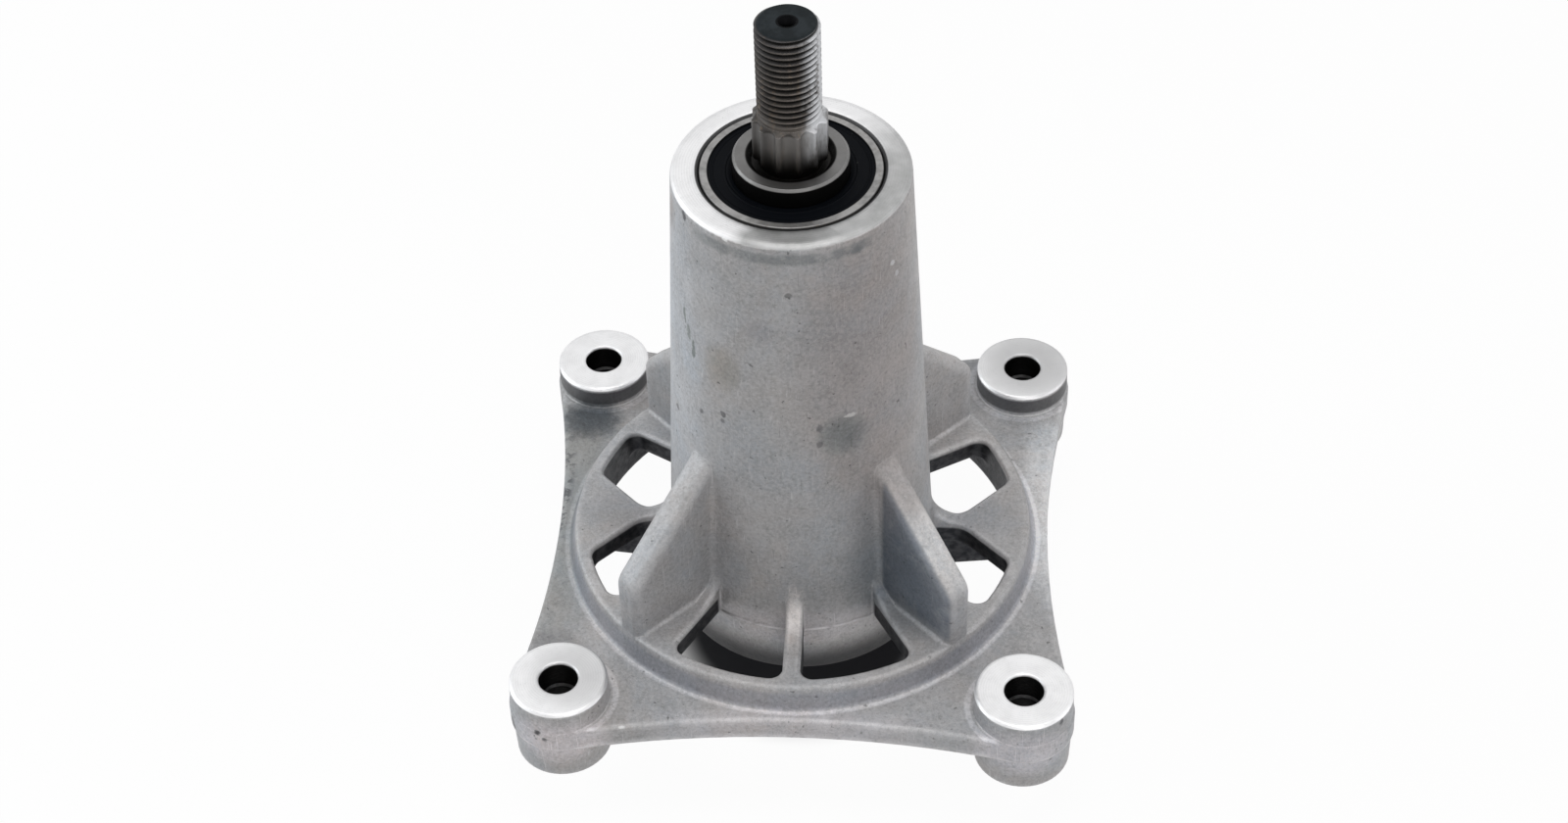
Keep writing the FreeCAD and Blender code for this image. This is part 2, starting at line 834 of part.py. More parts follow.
def race_groove(body, label, radius):
    """Ball track cut into a ring: a circle centred beside the pitch circle."""
    sketch = new_sketch(body, label + "_track", "XZ_Plane")
    centre = FreeCAD.Vector(radius.value, 0, 0)
    circle = Part.Circle(centre, FreeCAD.Vector(0, 0, 1), groove_radius.value)
    ring = sketch.addGeometry(circle, False)
    fix_point(sketch, ring, 3, radius, 0)
    constrain(sketch, Sketcher.Constraint("Radius", ring, groove_radius.value), groove_radius)
    revolve(body, label + "_raceway", sketch, cut=True)


def make_bearing(side, level, outward):
    """Sealed deep-groove bearing. outward is +1 where its long inner ring points up."""
    half = bearing_width / 2
    out = half * outward
    inn = out * -1
    chamfer = bearing_chamfer * outward
    recess = (seal_depth + seal_thickness) * outward
    outer_ring = ring_body(side + "_outer_ring", [
        (bearing_radius - bearing_chamfer, out),
        (bearing_radius, out - chamfer),
        (bearing_radius, inn + chamfer),
        (bearing_radius - bearing_chamfer, inn),
        (seal_radius, inn),
        (seal_radius, inn + recess),
        (outer_land_radius, inn + recess),
        (outer_land_radius, out - recess),
        (seal_radius, out - recess),
        (seal_radius, out),
    ], level)
    race_groove(outer_ring, side + "_outer_ring",
                pitch_radius + ball_radius + ball_clearance - groove_radius)

    tip = out + inner_ring_extension * outward
    lead = inner_ring_lead * outward
    inner_ring = ring_body(side + "_inner_ring", [
        (bearing_bore_radius, inn + chamfer),
        (bearing_bore_radius + bearing_chamfer, inn),
        (inner_land_radius - bearing_chamfer, inn),
        (inner_land_radius, inn + chamfer),
        (inner_land_radius, tip - chamfer),
        (inner_land_radius - bearing_chamfer, tip),
        (bearing_bore_radius + inner_ring_lead, tip),
        (bearing_bore_radius, tip - lead),
    ], level)
    race_groove(inner_ring, side + "_inner_ring",
                pitch_radius - ball_radius - ball_clearance + groove_radius)

    lip = inner_land_radius + seal_gap
    thick = seal_thickness * outward
    seals = []
    for name, face, step in (("_outer_seal", out - seal_depth * outward, thick),
                             ("_inner_seal", inn + seal_depth * outward, thick * -1)):
        seals.append(ring_body(side + name, [
            (lip, face - step / 3),
            (lip + seal_thickness, face),
            (seal_radius, face),
            (seal_radius, face - step),
            (lip + seal_thickness, face - step),
            (lip, face - step * 2 / 3),
        ], level))

    balls = make_balls(side, level)
    cage = [make_cage_half(side + "_cage_top", level, 1),
            make_cage_half(side + "_cage_bottom", level, -1)]
    rivets = make_rivets(side, level)
    return [outer_ring, inner_ring] + seals + [balls] + cage + [rivets]


def around(count, offset, part_of_step):
    """X and Y of points evenly spaced on a circle of the given radius."""
    places = []
    for i in range(count):
        angle = 360.0 * (i + part_of_step) / count
        cosine = Size(math.cos(math.radians(angle)), "cos(%g deg)" % angle)
        sine = Size(math.sin(math.radians(angle)), "sin(%g deg)" % angle)
        places.append((offset * cosine, offset * sine))
    return places


def group(label, members):
    compound = document.addObject("Part::Compound", label)
    compound.Links = members
    compound.Label = label
    return compound


def make_balls(side, level):
    members = []
    for i, (x, y) in enumerate(around(ball_count, pitch_radius, 0)):
        ball = document.addObject("Part::Sphere", "%s_ball_%d" % (side, i + 1))
        bind(ball, "Radius", ball_radius)
        bind(ball, "Placement.Base.x", x)
        bind(ball, "Placement.Base.y", y)
        bind(ball, "Placement.Base.z", level)
        members.append(ball)
    return group(side + "_balls", members)


def make_rivets(side, level):
    """One rivet between each two balls, through both halves of the cage."""
    grip = cage_sheet + rivet_head
    members = []
    for i, (x, y) in enumerate(around(ball_count, pitch_radius, 0.5)):
        rivet = document.addObject("Part::Cylinder", "%s_rivet_%d" % (side, i + 1))
        bind(rivet, "Radius", rivet_radius)
        bind(rivet, "Height", grip * 2)
        bind(rivet, "Placement.Base.x", x)
        bind(rivet, "Placement.Base.y", y)
        bind(rivet, "Placement.Base.z", level - grip)
        members.append(rivet)
    return group(side + "_cage_rivets", members)


def half_disc(sketch, radius):
    """Half disc beside the upright line through the pitch circle."""
    centre = FreeCAD.Vector(pitch_radius.value, 0, 0)
    low = centre - FreeCAD.Vector(0, radius.value, 0)
    high = centre + FreeCAD.Vector(0, radius.value, 0)
    add_axis(sketch, pitch_radius)
    arc = sketch.addGeometry(sketch_arc(centre, radius.value, low, high), False)
    line = sketch.addGeometry(Part.LineSegment(high, low), False)
    fix_point(sketch, arc, 3, pitch_radius, 0)
    constrain(sketch, Sketcher.Constraint("Radius", arc, radius.value), radius)
    constrain(sketch, Sketcher.Constraint("Coincident", arc, 2, line, 1))
    constrain(sketch, Sketcher.Constraint("Coincident", line, 2, arc, 1))
    constrain(sketch, Sketcher.Constraint("Vertical", line))
    constrain(sketch, Sketcher.Constraint("PointOnObject", arc, 3, line))


def make_cage_half(label, level, up):
    """Pressed half of the ball cage: a flat ring with a round pocket over each ball."""
    body = new_body(label)
    flat = new_sketch(body, label + "_flat", "XZ_Plane")
    outline(flat, [
        (cage_inner_radius, 0),
        (cage_outer_radius, 0),
        (cage_outer_radius, cage_sheet * up),
        (cage_inner_radius, cage_sheet * up),
    ])
    revolve(body, label + "_ring", flat)

    pocket_radius = ball_radius + cage_clearance
    shell = new_sketch(body, label + "_shell", "XZ_Plane")
    half_disc(shell, pocket_radius + cage_sheet)
    dome = revolve(body, label + "_dome", shell, axis="Axis0")
    polar(body, label + "_domes", dome, ball_count)

    reach = pocket_radius + cage_sheet + 1
    trim = new_sketch(body, label + "_trim", "XZ_Plane")
    outline(trim, [
        (0, reach * -up),
        (pitch_radius + reach, reach * -up),
        (pitch_radius + reach, reach * up),
        (cage_outer_radius, reach * up),
        (cage_outer_radius, 0),
        (cage_inner_radius, 0),
        (cage_inner_radius, reach * up),
        (0, reach * up),
    ])
    revolve(body, label + "_trimmed", trim, cut=True)

    hollow = new_sketch(body, label + "_hollow", "XZ_Plane")
    half_disc(hollow, pocket_radius)
    cavity = revolve(body, label + "_pocket", hollow, axis="Axis0", cut=True)
    polar(body, label + "_pockets", cavity, ball_count)

    eye = new_sketch(body, label + "_eye", "XZ_Plane", turn=180.0 / ball_count)
    add_axis(eye, pitch_radius)
    outline(eye, [
        (pitch_radius, cage_sheet * -2),
        (pitch_radius + rivet_radius, cage_sheet * -2),
        (pitch_radius + rivet_radius, cage_sheet * 2),
        (pitch_radius, cage_sheet * 2),
    ])
    rivet_hole = revolve(body, label + "_rivet_hole", eye, axis="Axis0", cut=True)
    polar(body, label + "_rivet_holes", rivet_hole, ball_count)
    bind(body, "Placement.Base.z", level)
    return body


# Spindle


def cut_flutes(body, name, level, length):
    """Round flutes along the shaft, cut downwards from a level."""
    sketch = new_sketch(body, name + "Profile", "XY_Plane", level)
    offset = spline_radius - flute_depth + flute_radius
    circle = Part.Circle(FreeCAD.Vector(offset.value, 0, 0), FreeCAD.Vector(0, 0, 1),
                         flute_radius.value)
    flute = sketch.addGeometry(circle, False)
    fix_point(sketch, flute, 3, offset, 0)
    constrain(sketch, Sketcher.Constraint("Radius", flute, flute_radius.value), flute_radius)
    cut = pocket(body, name, sketch, length)
    polar(body, name + "Pattern", cut, flute_count)


def make_shaft():
    """Shaft in one piece: threaded end, spline, bearing seats, collar and blade drive."""
    body = new_body("shaft")
    sketch = new_sketch(body, "ShaftProfile", "XZ_Plane")
    spline_top = thread_bottom - spline_chamfer
    centre_cone = (centre_mouth_radius - centre_pilot_radius) * math.sqrt(3)
    outline(sketch, [
        (0, shaft_top - centre_depth),
        (centre_pilot_radius, shaft_top - centre_depth + centre_pilot_radius / 2),
        (centre_pilot_radius, shaft_top - centre_cone),
        (centre_mouth_radius, shaft_top),
        (thread_radius - thread_end_chamfer, shaft_top),
        (thread_radius, shaft_top - thread_end_height),
        (thread_radius, thread_bottom),
        (spline_radius, spline_top),
        (spline_radius, neck_top),
        (neck_radius, neck_top),
        (neck_radius, seat_top),
        (bearing_bore_radius, seat_top),
        (bearing_bore_radius, collar_top),
        (collar_radius - collar_chamfer, collar_top),
        (collar_radius, collar_top - collar_chamfer),
        (collar_radius, collar_bottom + collar_chamfer),
        (collar_radius - collar_chamfer, collar_bottom),
        (spline_radius, collar_bottom),
        (spline_radius, shaft_bottom + blade_end_chamfer),
        (spline_radius - blade_end_chamfer, shaft_bottom),
        (tapped_radius + tapped_chamfer, shaft_bottom),
        (tapped_radius, shaft_bottom + tapped_chamfer),
        (tapped_radius, shaft_bottom + tapped_depth),
        (0, shaft_bottom + tapped_depth + tapped_radius * 0.6),
    ])
    revolve(body, "Turned", sketch)
    cut_flutes(body, "Flute", thread_bottom, thread_bottom - neck_top + neck_length / 4)
    cut_flutes(body, "BladeFlute", collar_bottom, blade_drive_length + 1)
    return [body]


def make_spacer():
    """Sleeve that keeps the two inner rings apart."""
    top = tube_height - bearing_width
    bottom = hub_bottom + bearing_width
    bore = bearing_bore_radius + spacer_clearance
    return [ring_body("spacer_sleeve", [
        (bore, bottom),
        (spacer_radius, bottom),
        (spacer_radius, top),
        (bore, top),
    ], as_size(0))]


def main():
    parts = make_housing()
    parts += make_bearing("upper", upper_bearing, 1)
    parts += make_bearing("lower", lower_bearing, -1)
    parts += make_shaft()
    parts += make_spacer()
    document.recompute()
    for item in document.Objects:
        for word in ("Invalid", "Error"):
            if word in item.State:
                raise RuntimeError("%s is %s" % (item.Name, word))
    for part in parts:
        if part.Shape.isNull() or not part.Shape.isValid():
            raise RuntimeError("%s has no valid shape" % part.Label)
    os.makedirs("parts", exist_ok=True)
    for part in parts:
        part.Shape.exportStep(os.path.join("parts", part.Label + ".step"))
        print("%-22s %2d solids %10.1f mm3" % (part.Label, len(part.Shape.Solids),
                                              part.Shape.Volume))


main()
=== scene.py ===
"""Blade hub of a mower deck: finishes for the cast housing and its bearings, and a threaded, splined shaft.

Everything is in metres in the frame of the CAD part. The origin is the centre of the bolt holes in the plane
of the boss tops, and the shaft turns about +Z. Patterns and surfaces are worked out in millimetres.
"""
import math

import bpy
import numpy as np
from bpy.props import FloatProperty, FloatVectorProperty, IntProperty, PointerProperty
from mathutils import Matrix, Vector


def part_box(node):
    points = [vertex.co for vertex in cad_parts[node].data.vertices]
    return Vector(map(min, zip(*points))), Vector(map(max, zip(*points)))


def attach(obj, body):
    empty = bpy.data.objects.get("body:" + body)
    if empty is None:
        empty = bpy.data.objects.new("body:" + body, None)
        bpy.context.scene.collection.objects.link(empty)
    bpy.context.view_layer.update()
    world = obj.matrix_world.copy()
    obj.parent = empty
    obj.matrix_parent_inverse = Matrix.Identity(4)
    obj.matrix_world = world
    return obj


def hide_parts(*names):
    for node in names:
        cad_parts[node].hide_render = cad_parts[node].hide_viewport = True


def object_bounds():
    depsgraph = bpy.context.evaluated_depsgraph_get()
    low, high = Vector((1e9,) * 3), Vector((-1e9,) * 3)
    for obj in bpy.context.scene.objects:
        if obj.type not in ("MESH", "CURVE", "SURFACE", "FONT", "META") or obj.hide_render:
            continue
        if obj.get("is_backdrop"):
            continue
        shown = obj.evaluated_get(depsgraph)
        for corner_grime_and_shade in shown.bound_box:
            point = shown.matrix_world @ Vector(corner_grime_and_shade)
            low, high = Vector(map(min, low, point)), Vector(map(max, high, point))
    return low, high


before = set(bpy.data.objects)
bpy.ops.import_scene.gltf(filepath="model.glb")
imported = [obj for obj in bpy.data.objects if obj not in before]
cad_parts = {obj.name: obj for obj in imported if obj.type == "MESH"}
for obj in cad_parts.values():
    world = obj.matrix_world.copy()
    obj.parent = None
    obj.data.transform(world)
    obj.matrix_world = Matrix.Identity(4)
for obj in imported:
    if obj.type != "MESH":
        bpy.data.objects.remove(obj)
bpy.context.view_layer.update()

bl_info = {
    "name": "Blade hub",
    "version": (1, 0, 0),
    "blender": (4, 5, 0),
    "location": "View3D > Sidebar > Blade hub",
    "description": "Makes the shaft surface, the finishes and the stage of a mower blade hub",
    "category": "Object",
}

MM = 0.001
SIDES = ("upper", "lower")

# Places on the housing that its finish follows, in millimetres
HALF_SPACING = 52.5
BOSS_RADIUS = 11.2
HOLE_RADIUS = 4.5
HOLE_STEP = -7.0
PLATE_TOP = -6.0
WEB_RADIUS = 55.0
WINDOW_RADIUS = 50.8
HUB_RADIUS = 31.0

# Radii on the bearings, in millimetres
BEARING_RADIUS = 20.0
SEAL_RADIUS = 17.9
INNER_RING_RADIUS = 12.5
BEARING_BORE_RADIUS = 8.5


def top_of(node):
    """Height of a CAD node's highest point, in millimetres."""
    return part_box(node)[1][2] / MM


def bottom_of(node):
    """Height of a CAD node's lowest point, in millimetres."""
    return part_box(node)[0][2] / MM


RIM = top_of("housing")
INNER_FACE = top_of("upper_inner_ring")

# Measures of the shaft and its tapped hole that have no setting, in millimetres
CENTRE_HOLE_RADIUS = 1.95
END_CHAMFER = 1.05
END_CHAMFER_HEIGHT = 0.7
RUN_OUT = 0.3
SPLINE_END_CHAMFER = 0.25
NECK_LENGTH = 1.8
LEAD_DEPTH = 1.45
COLLAR_LENGTH = 4.0
COLLAR_CHAMFER = 0.5
DRIVE_CHAMFER = 0.8
TAPPED_DEPTH = 28.0
TAPPING_LENGTH = 12.0
TAPPING_DEPTH = 0.75
TAPPING_LEAD = 1.0
STEPS_PER_MM = 11

# Wide patches on the casting: centre, size along each axis and factor of the colour. Some are stains; most
# are painted light and painted shade on sides, faces and hollows
CAST_STAINS_AND_PAINTED_LIGHT = (
    # Painted shade on the tube's right front, and cool painted light on its left side
    ((20.0, -21.0, 72.0), (25.0, 20.0, 60.0), (0.80, 0.755, 0.74)),
    ((-27.0, -10.0, 60.0), (12.0, 20.0, 60.0), (1.15, 1.19, 1.23)),
    # Stains on the tube and under the rim
    ((-14.5, -23.5, 69.8), (6.0, 6.0, 8.0), (0.84, 0.81, 0.76)),
    ((-5.9, -26.3, 83.3), (4.5, 4.5, 3.6), (0.84, 0.84, 0.86)),
    ((11.4, -26.1, 53.2), (7.0, 7.0, 7.2), (0.60, 0.66, 0.67)),
    ((-27.5, -8.0, 101.0), (4.0, 7.0, 8.0), (0.70, 0.64, 0.60)),
    # Painted shade low beside the front-right gusset, painted highlights on that gusset's top and on the
    # front spoke's sweep, and painted light on the front of the web
    ((23.5, -29.0, 9.0), (15.0, 15.0, 22.0), (0.66, 0.70, 0.73)),
    ((34.5, -31.5, 28.0), (11.0, 11.0, 19.0), (1.42, 1.40, 1.37)),
    ((0.0, -36.0, 4.0), (3.2, 9.0, 8.0), (1.45, 1.40, 1.36)),
    ((0.0, -31.0, -5.0), (26.0, 12.0, 7.0), (1.22, 1.20, 1.22)),
    # Painted shade on the front-left plate, and the painted shadow of the back-left boss
    ((-56.0, -39.0, -6.5), (9.0, 8.0, 3.0), (0.80, 0.78, 0.78)),
    ((-54.5, 36.8, -6.0), (9.5, 8.2, 3.0), (0.30, 0.33, 0.36)),
    # A darker patch on the plate beside the back-right boss
    ((40.5, 52.5, -6.0), (7.0, 14.0, 3.0), (0.65, 0.65, 0.66)),
    # Painted shade on the left of the plate; painted light on its right, on its front edge and on the front
    # bosses' sides
    ((-58.0, 8.0, -7.0), (16.0, 60.0, 6.0), (0.74, 0.76, 0.75)),
    ((60.0, 12.0, -6.0), (10.0, 40.0, 5.0), (1.60, 1.64, 1.66)),
    ((0.0, -58.0, -8.5), (42.0, 5.0, 6.0), (1.22, 1.20, 1.22)),
    ((-52.5, -63.5, -9.5), (15.0, 9.0, 9.0), (1.52, 1.47, 1.50)),
    ((52.5, -63.5, -9.5), (15.0, 9.0, 9.0), (1.40, 1.36, 1.39)),
    # Darker patches on the side spokes
    ((-42.0, 0.0, -0.5), (13.0, 10.0, 3.0), (0.82, 0.82, 0.83)),
    ((42.0, 0.0, -0.5), (13.0, 10.0, 3.0), (0.88, 0.88, 0.89)),
)

# Small marks on the casting: centre, size along each axis, strength and colour
CAST_MARKS = (
    ((6.5, -27.5, 56.6), (0.9, 0.9, 1.3), 0.6, (0.12, 0.12, 0.13)),
    ((6.3, -27.8, 51.7), (0.8, 0.8, 1.2), 0.6, (0.12, 0.12, 0.13)),
    ((13.2, -25.0, 58.2), (1.5, 1.5, 0.55), 0.8, (0.75, 0.74, 0.73)),
    ((22.0, -14.8, 93.7), (0.8, 0.8, 0.8), 0.8, (0.70, 0.70, 0.72)),
    ((22.8, -13.9, 90.1), (0.6, 0.6, 0.7), 0.7, (0.65, 0.65, 0.67)),
    ((14.8, -21.4, 102.9), (1.7, 1.7, 1.3), 0.6, (0.15, 0.16, 0.17)),
    ((-21.8, -14.0, 105.0), (1.1, 1.1, 1.5), 0.9, (0.05, 0.05, 0.06)),
    ((-12.7, -22.5, 106.1), (0.9, 0.9, 0.7), 1.0, (0.95, 0.95, 0.95)),
    ((-23.0, -14.6, 77.8), (0.55, 0.7, 2.6), 0.65, (0.09, 0.12, 0.10)),
    ((-22.1, -16.3, 73.9), (0.5, 0.7, 2.6), 0.55, (0.10, 0.13, 0.11)),
    ((-21.2, -17.7, 70.1), (0.5, 0.7, 2.4), 0.65, (0.09, 0.12, 0.10)),
    ((-20.0, -20.2, 53.7), (0.7, 0.7, 0.9), 0.7, (0.10, 0.10, 0.11)),
    ((-14.9, -24.0, 56.7), (0.7, 0.7, 0.9), 0.7, (0.09, 0.09, 0.10)),
    ((-15.0, -24.1, 54.9), (0.6, 0.6, 0.7), 0.6, (0.10, 0.10, 0.11)),
    ((-26.2, -11.8, 46.8), (0.7, 0.9, 0.9), 0.7, (0.10, 0.10, 0.11)),
    ((0.4, -26.5, 94.1), (0.8, 0.8, 0.8), 0.6, (0.11, 0.11, 0.11)),
    ((-56.4, -63.0, -6.4), (1.0, 1.0, 1.0), 0.9, (0.03, 0.03, 0.035)),
    ((-54.9, -63.4, -8.2), (0.9, 0.9, 0.9), 0.8, (0.05, 0.05, 0.055)),
    ((-62.7, -57.0, -9.7), (1.2, 1.8, 2.4), 0.7, (0.06, 0.06, 0.07)),
    ((-61.9, -47.8, -0.2), (1.5, 1.0, 1.2), 0.9, (0.06, 0.06, 0.07)),
    ((60.8, -60.0, -1.7), (0.9, 0.9, 1.3), 0.85, (0.08, 0.08, 0.09)),
    ((-37.5, -61.2, -6.2), (0.9, 0.7, 0.7), 1.0, (0.95, 0.95, 0.95)),
    ((-44.6, 56.2, -0.2), (2.6, 1.6, 1.2), 0.9, (0.07, 0.07, 0.04)),
)


def length(name, default, description):
    """A length, given in millimetres and kept in metres as all lengths in Blender."""
    return FloatProperty(name=name, default=default * MM, min=0.0, precision=5, subtype="DISTANCE",
                         description=description)


def power(name, default, description):
    """The power of a lamp."""
    return FloatProperty(name=name, default=default, min=0.0, subtype="POWER", description=description)


def colour(name, default, description):
    """A linear colour."""
    return FloatVectorProperty(name=name, default=default, size=3, min=0.0, max=1.0, subtype="COLOR",
                               description=description)


class BladeHubShaftSizes(bpy.types.PropertyGroup):
    """Sizes of the shaft."""

    thread_radius: length("Thread radius", 6.9, "Outside radius of the nut thread")
    thread_pitch: length("Thread pitch", 1.5, "Rise of the nut thread in one turn")
    thread_depth: length("Thread depth", 0.92, "Depth of the nut thread")
    thread_length: length("Thread length", 23.4, "Length of the threaded end")
    spline_radius: length("Spline radius", 8.16, "Outside radius of the spline")
    spline_chamfer: length("Spline chamfer", 0.9, "Height of the cone above the spline")
    flute_radius: length("Flute radius", 2.1, "Radius of each round flute")
    flute_depth: length("Flute depth", 1.0, "Depth of each flute below the spline's outside")
    neck_radius: length("Neck radius", 7.1, "Radius of the turned neck below the spline")
    seat_radius: length("Seat radius", 8.5, "Radius where the bearings sit")
    collar_radius: length("Collar radius", 12.5, "Radius of the collar below the lower bearing")
    bore_radius: length("Tapped radius", 4.25, "Inside radius of the tapping for the blade bolt")
    flutes: IntProperty(name="Flutes", default=12, min=3, description="Number of flutes round the shaft")
    around: IntProperty(name="Steps round", default=192, min=48,
                        description="Faces in one turn of the surface")


class BladeHubFinishes(bpy.types.PropertyGroup):
    """Colours of the finishes."""

    cast: colour("Cast skin", (0.50, 0.495, 0.50), "Sand-grey skin of the casting")
    machined: colour("Machined", (0.94, 0.94, 0.95), "Faced boss tops and rim")
    # This colour is oily dirt, and also paints shade in inside corners, in holes, at the shaft's foot and in
    # the bearings' bores
    grime_and_shade: colour("Grime", (0.05, 0.045, 0.04), "Oily dirt in holes and corners")
    steel: colour("Shaft steel", (0.090, 0.082, 0.076), "Turned steel of the shaft")
    ring: colour("Bearing steel", (0.38, 0.375, 0.37), "Ground steel of the bearing rings")
    rubber: colour("Seal rubber", (0.002, 0.0028, 0.0045), "Black rubber of the seals")


class BladeHubStage(bpy.types.PropertyGroup):
    """Camera, lamps and floor."""

    lens: FloatProperty(name="Lens", default=67.35, min=1.0, subtype="DISTANCE_CAMERA",
                        description="Focal length for a 36 mm wide picture")
    key: power("Key lamp", 2.0, "Lamp overhead")
    left: power("Left lamp", 2.4, "Window light on the left")
    right: power("Right lamp", 1.1, "Lamp on the right")
    front: power("Front lamp", 1.1, "Lamp high in front")
    sky: FloatProperty(name="Sky", default=0.15, min=0.0, subtype="FACTOR",
                       description="Strength of the even light all round")


class Value:
    """A shader socket or number that takes part in Python expressions."""

    def __init__(self, maker, socket):
        self.maker = maker
        self.socket = socket

    def math(self, operation, *others, clamp=False):
        """A Math node on this value and the others."""
        operands = [self] + list(others)
        node = self.maker.node("ShaderNodeMath", {"operation": operation, "use_clamp": clamp},
                               dict(enumerate(operands)))
        return Value(self.maker, node.outputs[0])

    def __add__(self, other):
        return self.math("ADD", other)

    def __radd__(self, other):
        return self.math("ADD", other)

    def __sub__(self, other):
        return self.math("SUBTRACT", other)

    def __rsub__(self, other):
        return self.maker.value(other).math("SUBTRACT", self)

    def __mul__(self, other):
        return self.math("MULTIPLY", other)

    def __rmul__(self, other):
        return self.math("MULTIPLY", other)

    def __truediv__(self, other):
        return self.math("DIVIDE", other)

    def __abs__(self):
        return self.math("ABSOLUTE")

    def sqrt(self):
        return self.math("SQRT")

    def sin(self):
        return self.math("SINE")

    def smaller(self, other):
        return self.math("MINIMUM", other)

    def larger(self, other):
        return self.math("MAXIMUM", other)

    def clamped(self):
        return self.math("ADD", 0.0, clamp=True)

    def ramp(self, low, high):
        """0 below low, 1 above high and a smooth step between them; high may be the smaller one."""
        settings = {"interpolation_type": "SMOOTHSTEP"}
        values = {"Value": self, "From Min": min(low, high), "From Max": max(low, high),
                  "To Min": 0.0 if low < high else 1.0, "To Max": 1.0 if low < high else 0.0}
        node = self.maker.node("ShaderNodeMapRange", settings, values)
        return Value(self.maker, node.outputs["Result"])

    def between(self, start, full, fade, end):
        """0 up to start and from end on, 1 from full to fade, and smooth steps in between."""
        return self.ramp(start, full) * self.ramp(end, fade)


class Shading:
    """A node tree that is built from Python expressions."""

    def __init__(self, owner, coordinates, scale):
        owner.use_nodes = True
        self.tree = owner.node_tree
        self.tree.nodes.clear()
        place = self.node("ShaderNodeTexCoord").outputs[coordinates]
        self.place = self.node("ShaderNodeVectorMath", {"operation": "SCALE"},
                               {0: place, "Scale": scale}).outputs[0]
        parts = self.node("ShaderNodeSeparateXYZ", {}, {0: self.place})
        self.x, self.y, self.z = (Value(self, parts.outputs[i]) for i in range(3))

    def node(self, kind, settings=None, sockets=None):
        """A node of that kind: its settings first, then the values or links of its sockets."""
        node = self.tree.nodes.new(kind)
        for name, setting in (settings or {}).items():
            setattr(node, name, setting)
        for name, item in (sockets or {}).items():
            if isinstance(item, Value):
                item = item.socket
            if isinstance(item, bpy.types.NodeSocket):
                self.tree.links.new(item, node.inputs[name])
            else:
                node.inputs[name].default_value = item
        return node

    def value(self, number):
        """A number as a socket."""
        node = self.node("ShaderNodeValue")
        node.outputs[0].default_value = number
        return Value(self, node.outputs[0])

    def mix(self, amount, first, second, blend="MIX"):
        """Colour that goes from first to second, or to their blend, as amount goes from 0 to 1."""
        def rgba(item):
            return (*item, 1.0) if isinstance(item, (tuple, list)) and len(item) == 3 else item
        node = self.node("ShaderNodeMix", {"data_type": "RGBA", "blend_type": blend},
                         {0: amount, 6: rgba(first), 7: rgba(second)})
        return node.outputs[2]

    def seen_directly(self):
        """1 for what the camera, a mirror or glass shows, 0 for light that falls on other things."""
        path = self.node("ShaderNodeLightPath").outputs
        camera, mirror, glass = (Value(self, path["Is %s Ray" % kind])
                                 for kind in ("Camera", "Glossy", "Transmission"))
        return camera.larger(mirror).larger(glass)


class Room(Shading):
    """A procedural world. Its place is the direction looked in."""

    def __init__(self, name):
        self.world = bpy.data.worlds.new(name)
        super().__init__(self.world, "Generated", 1.0)


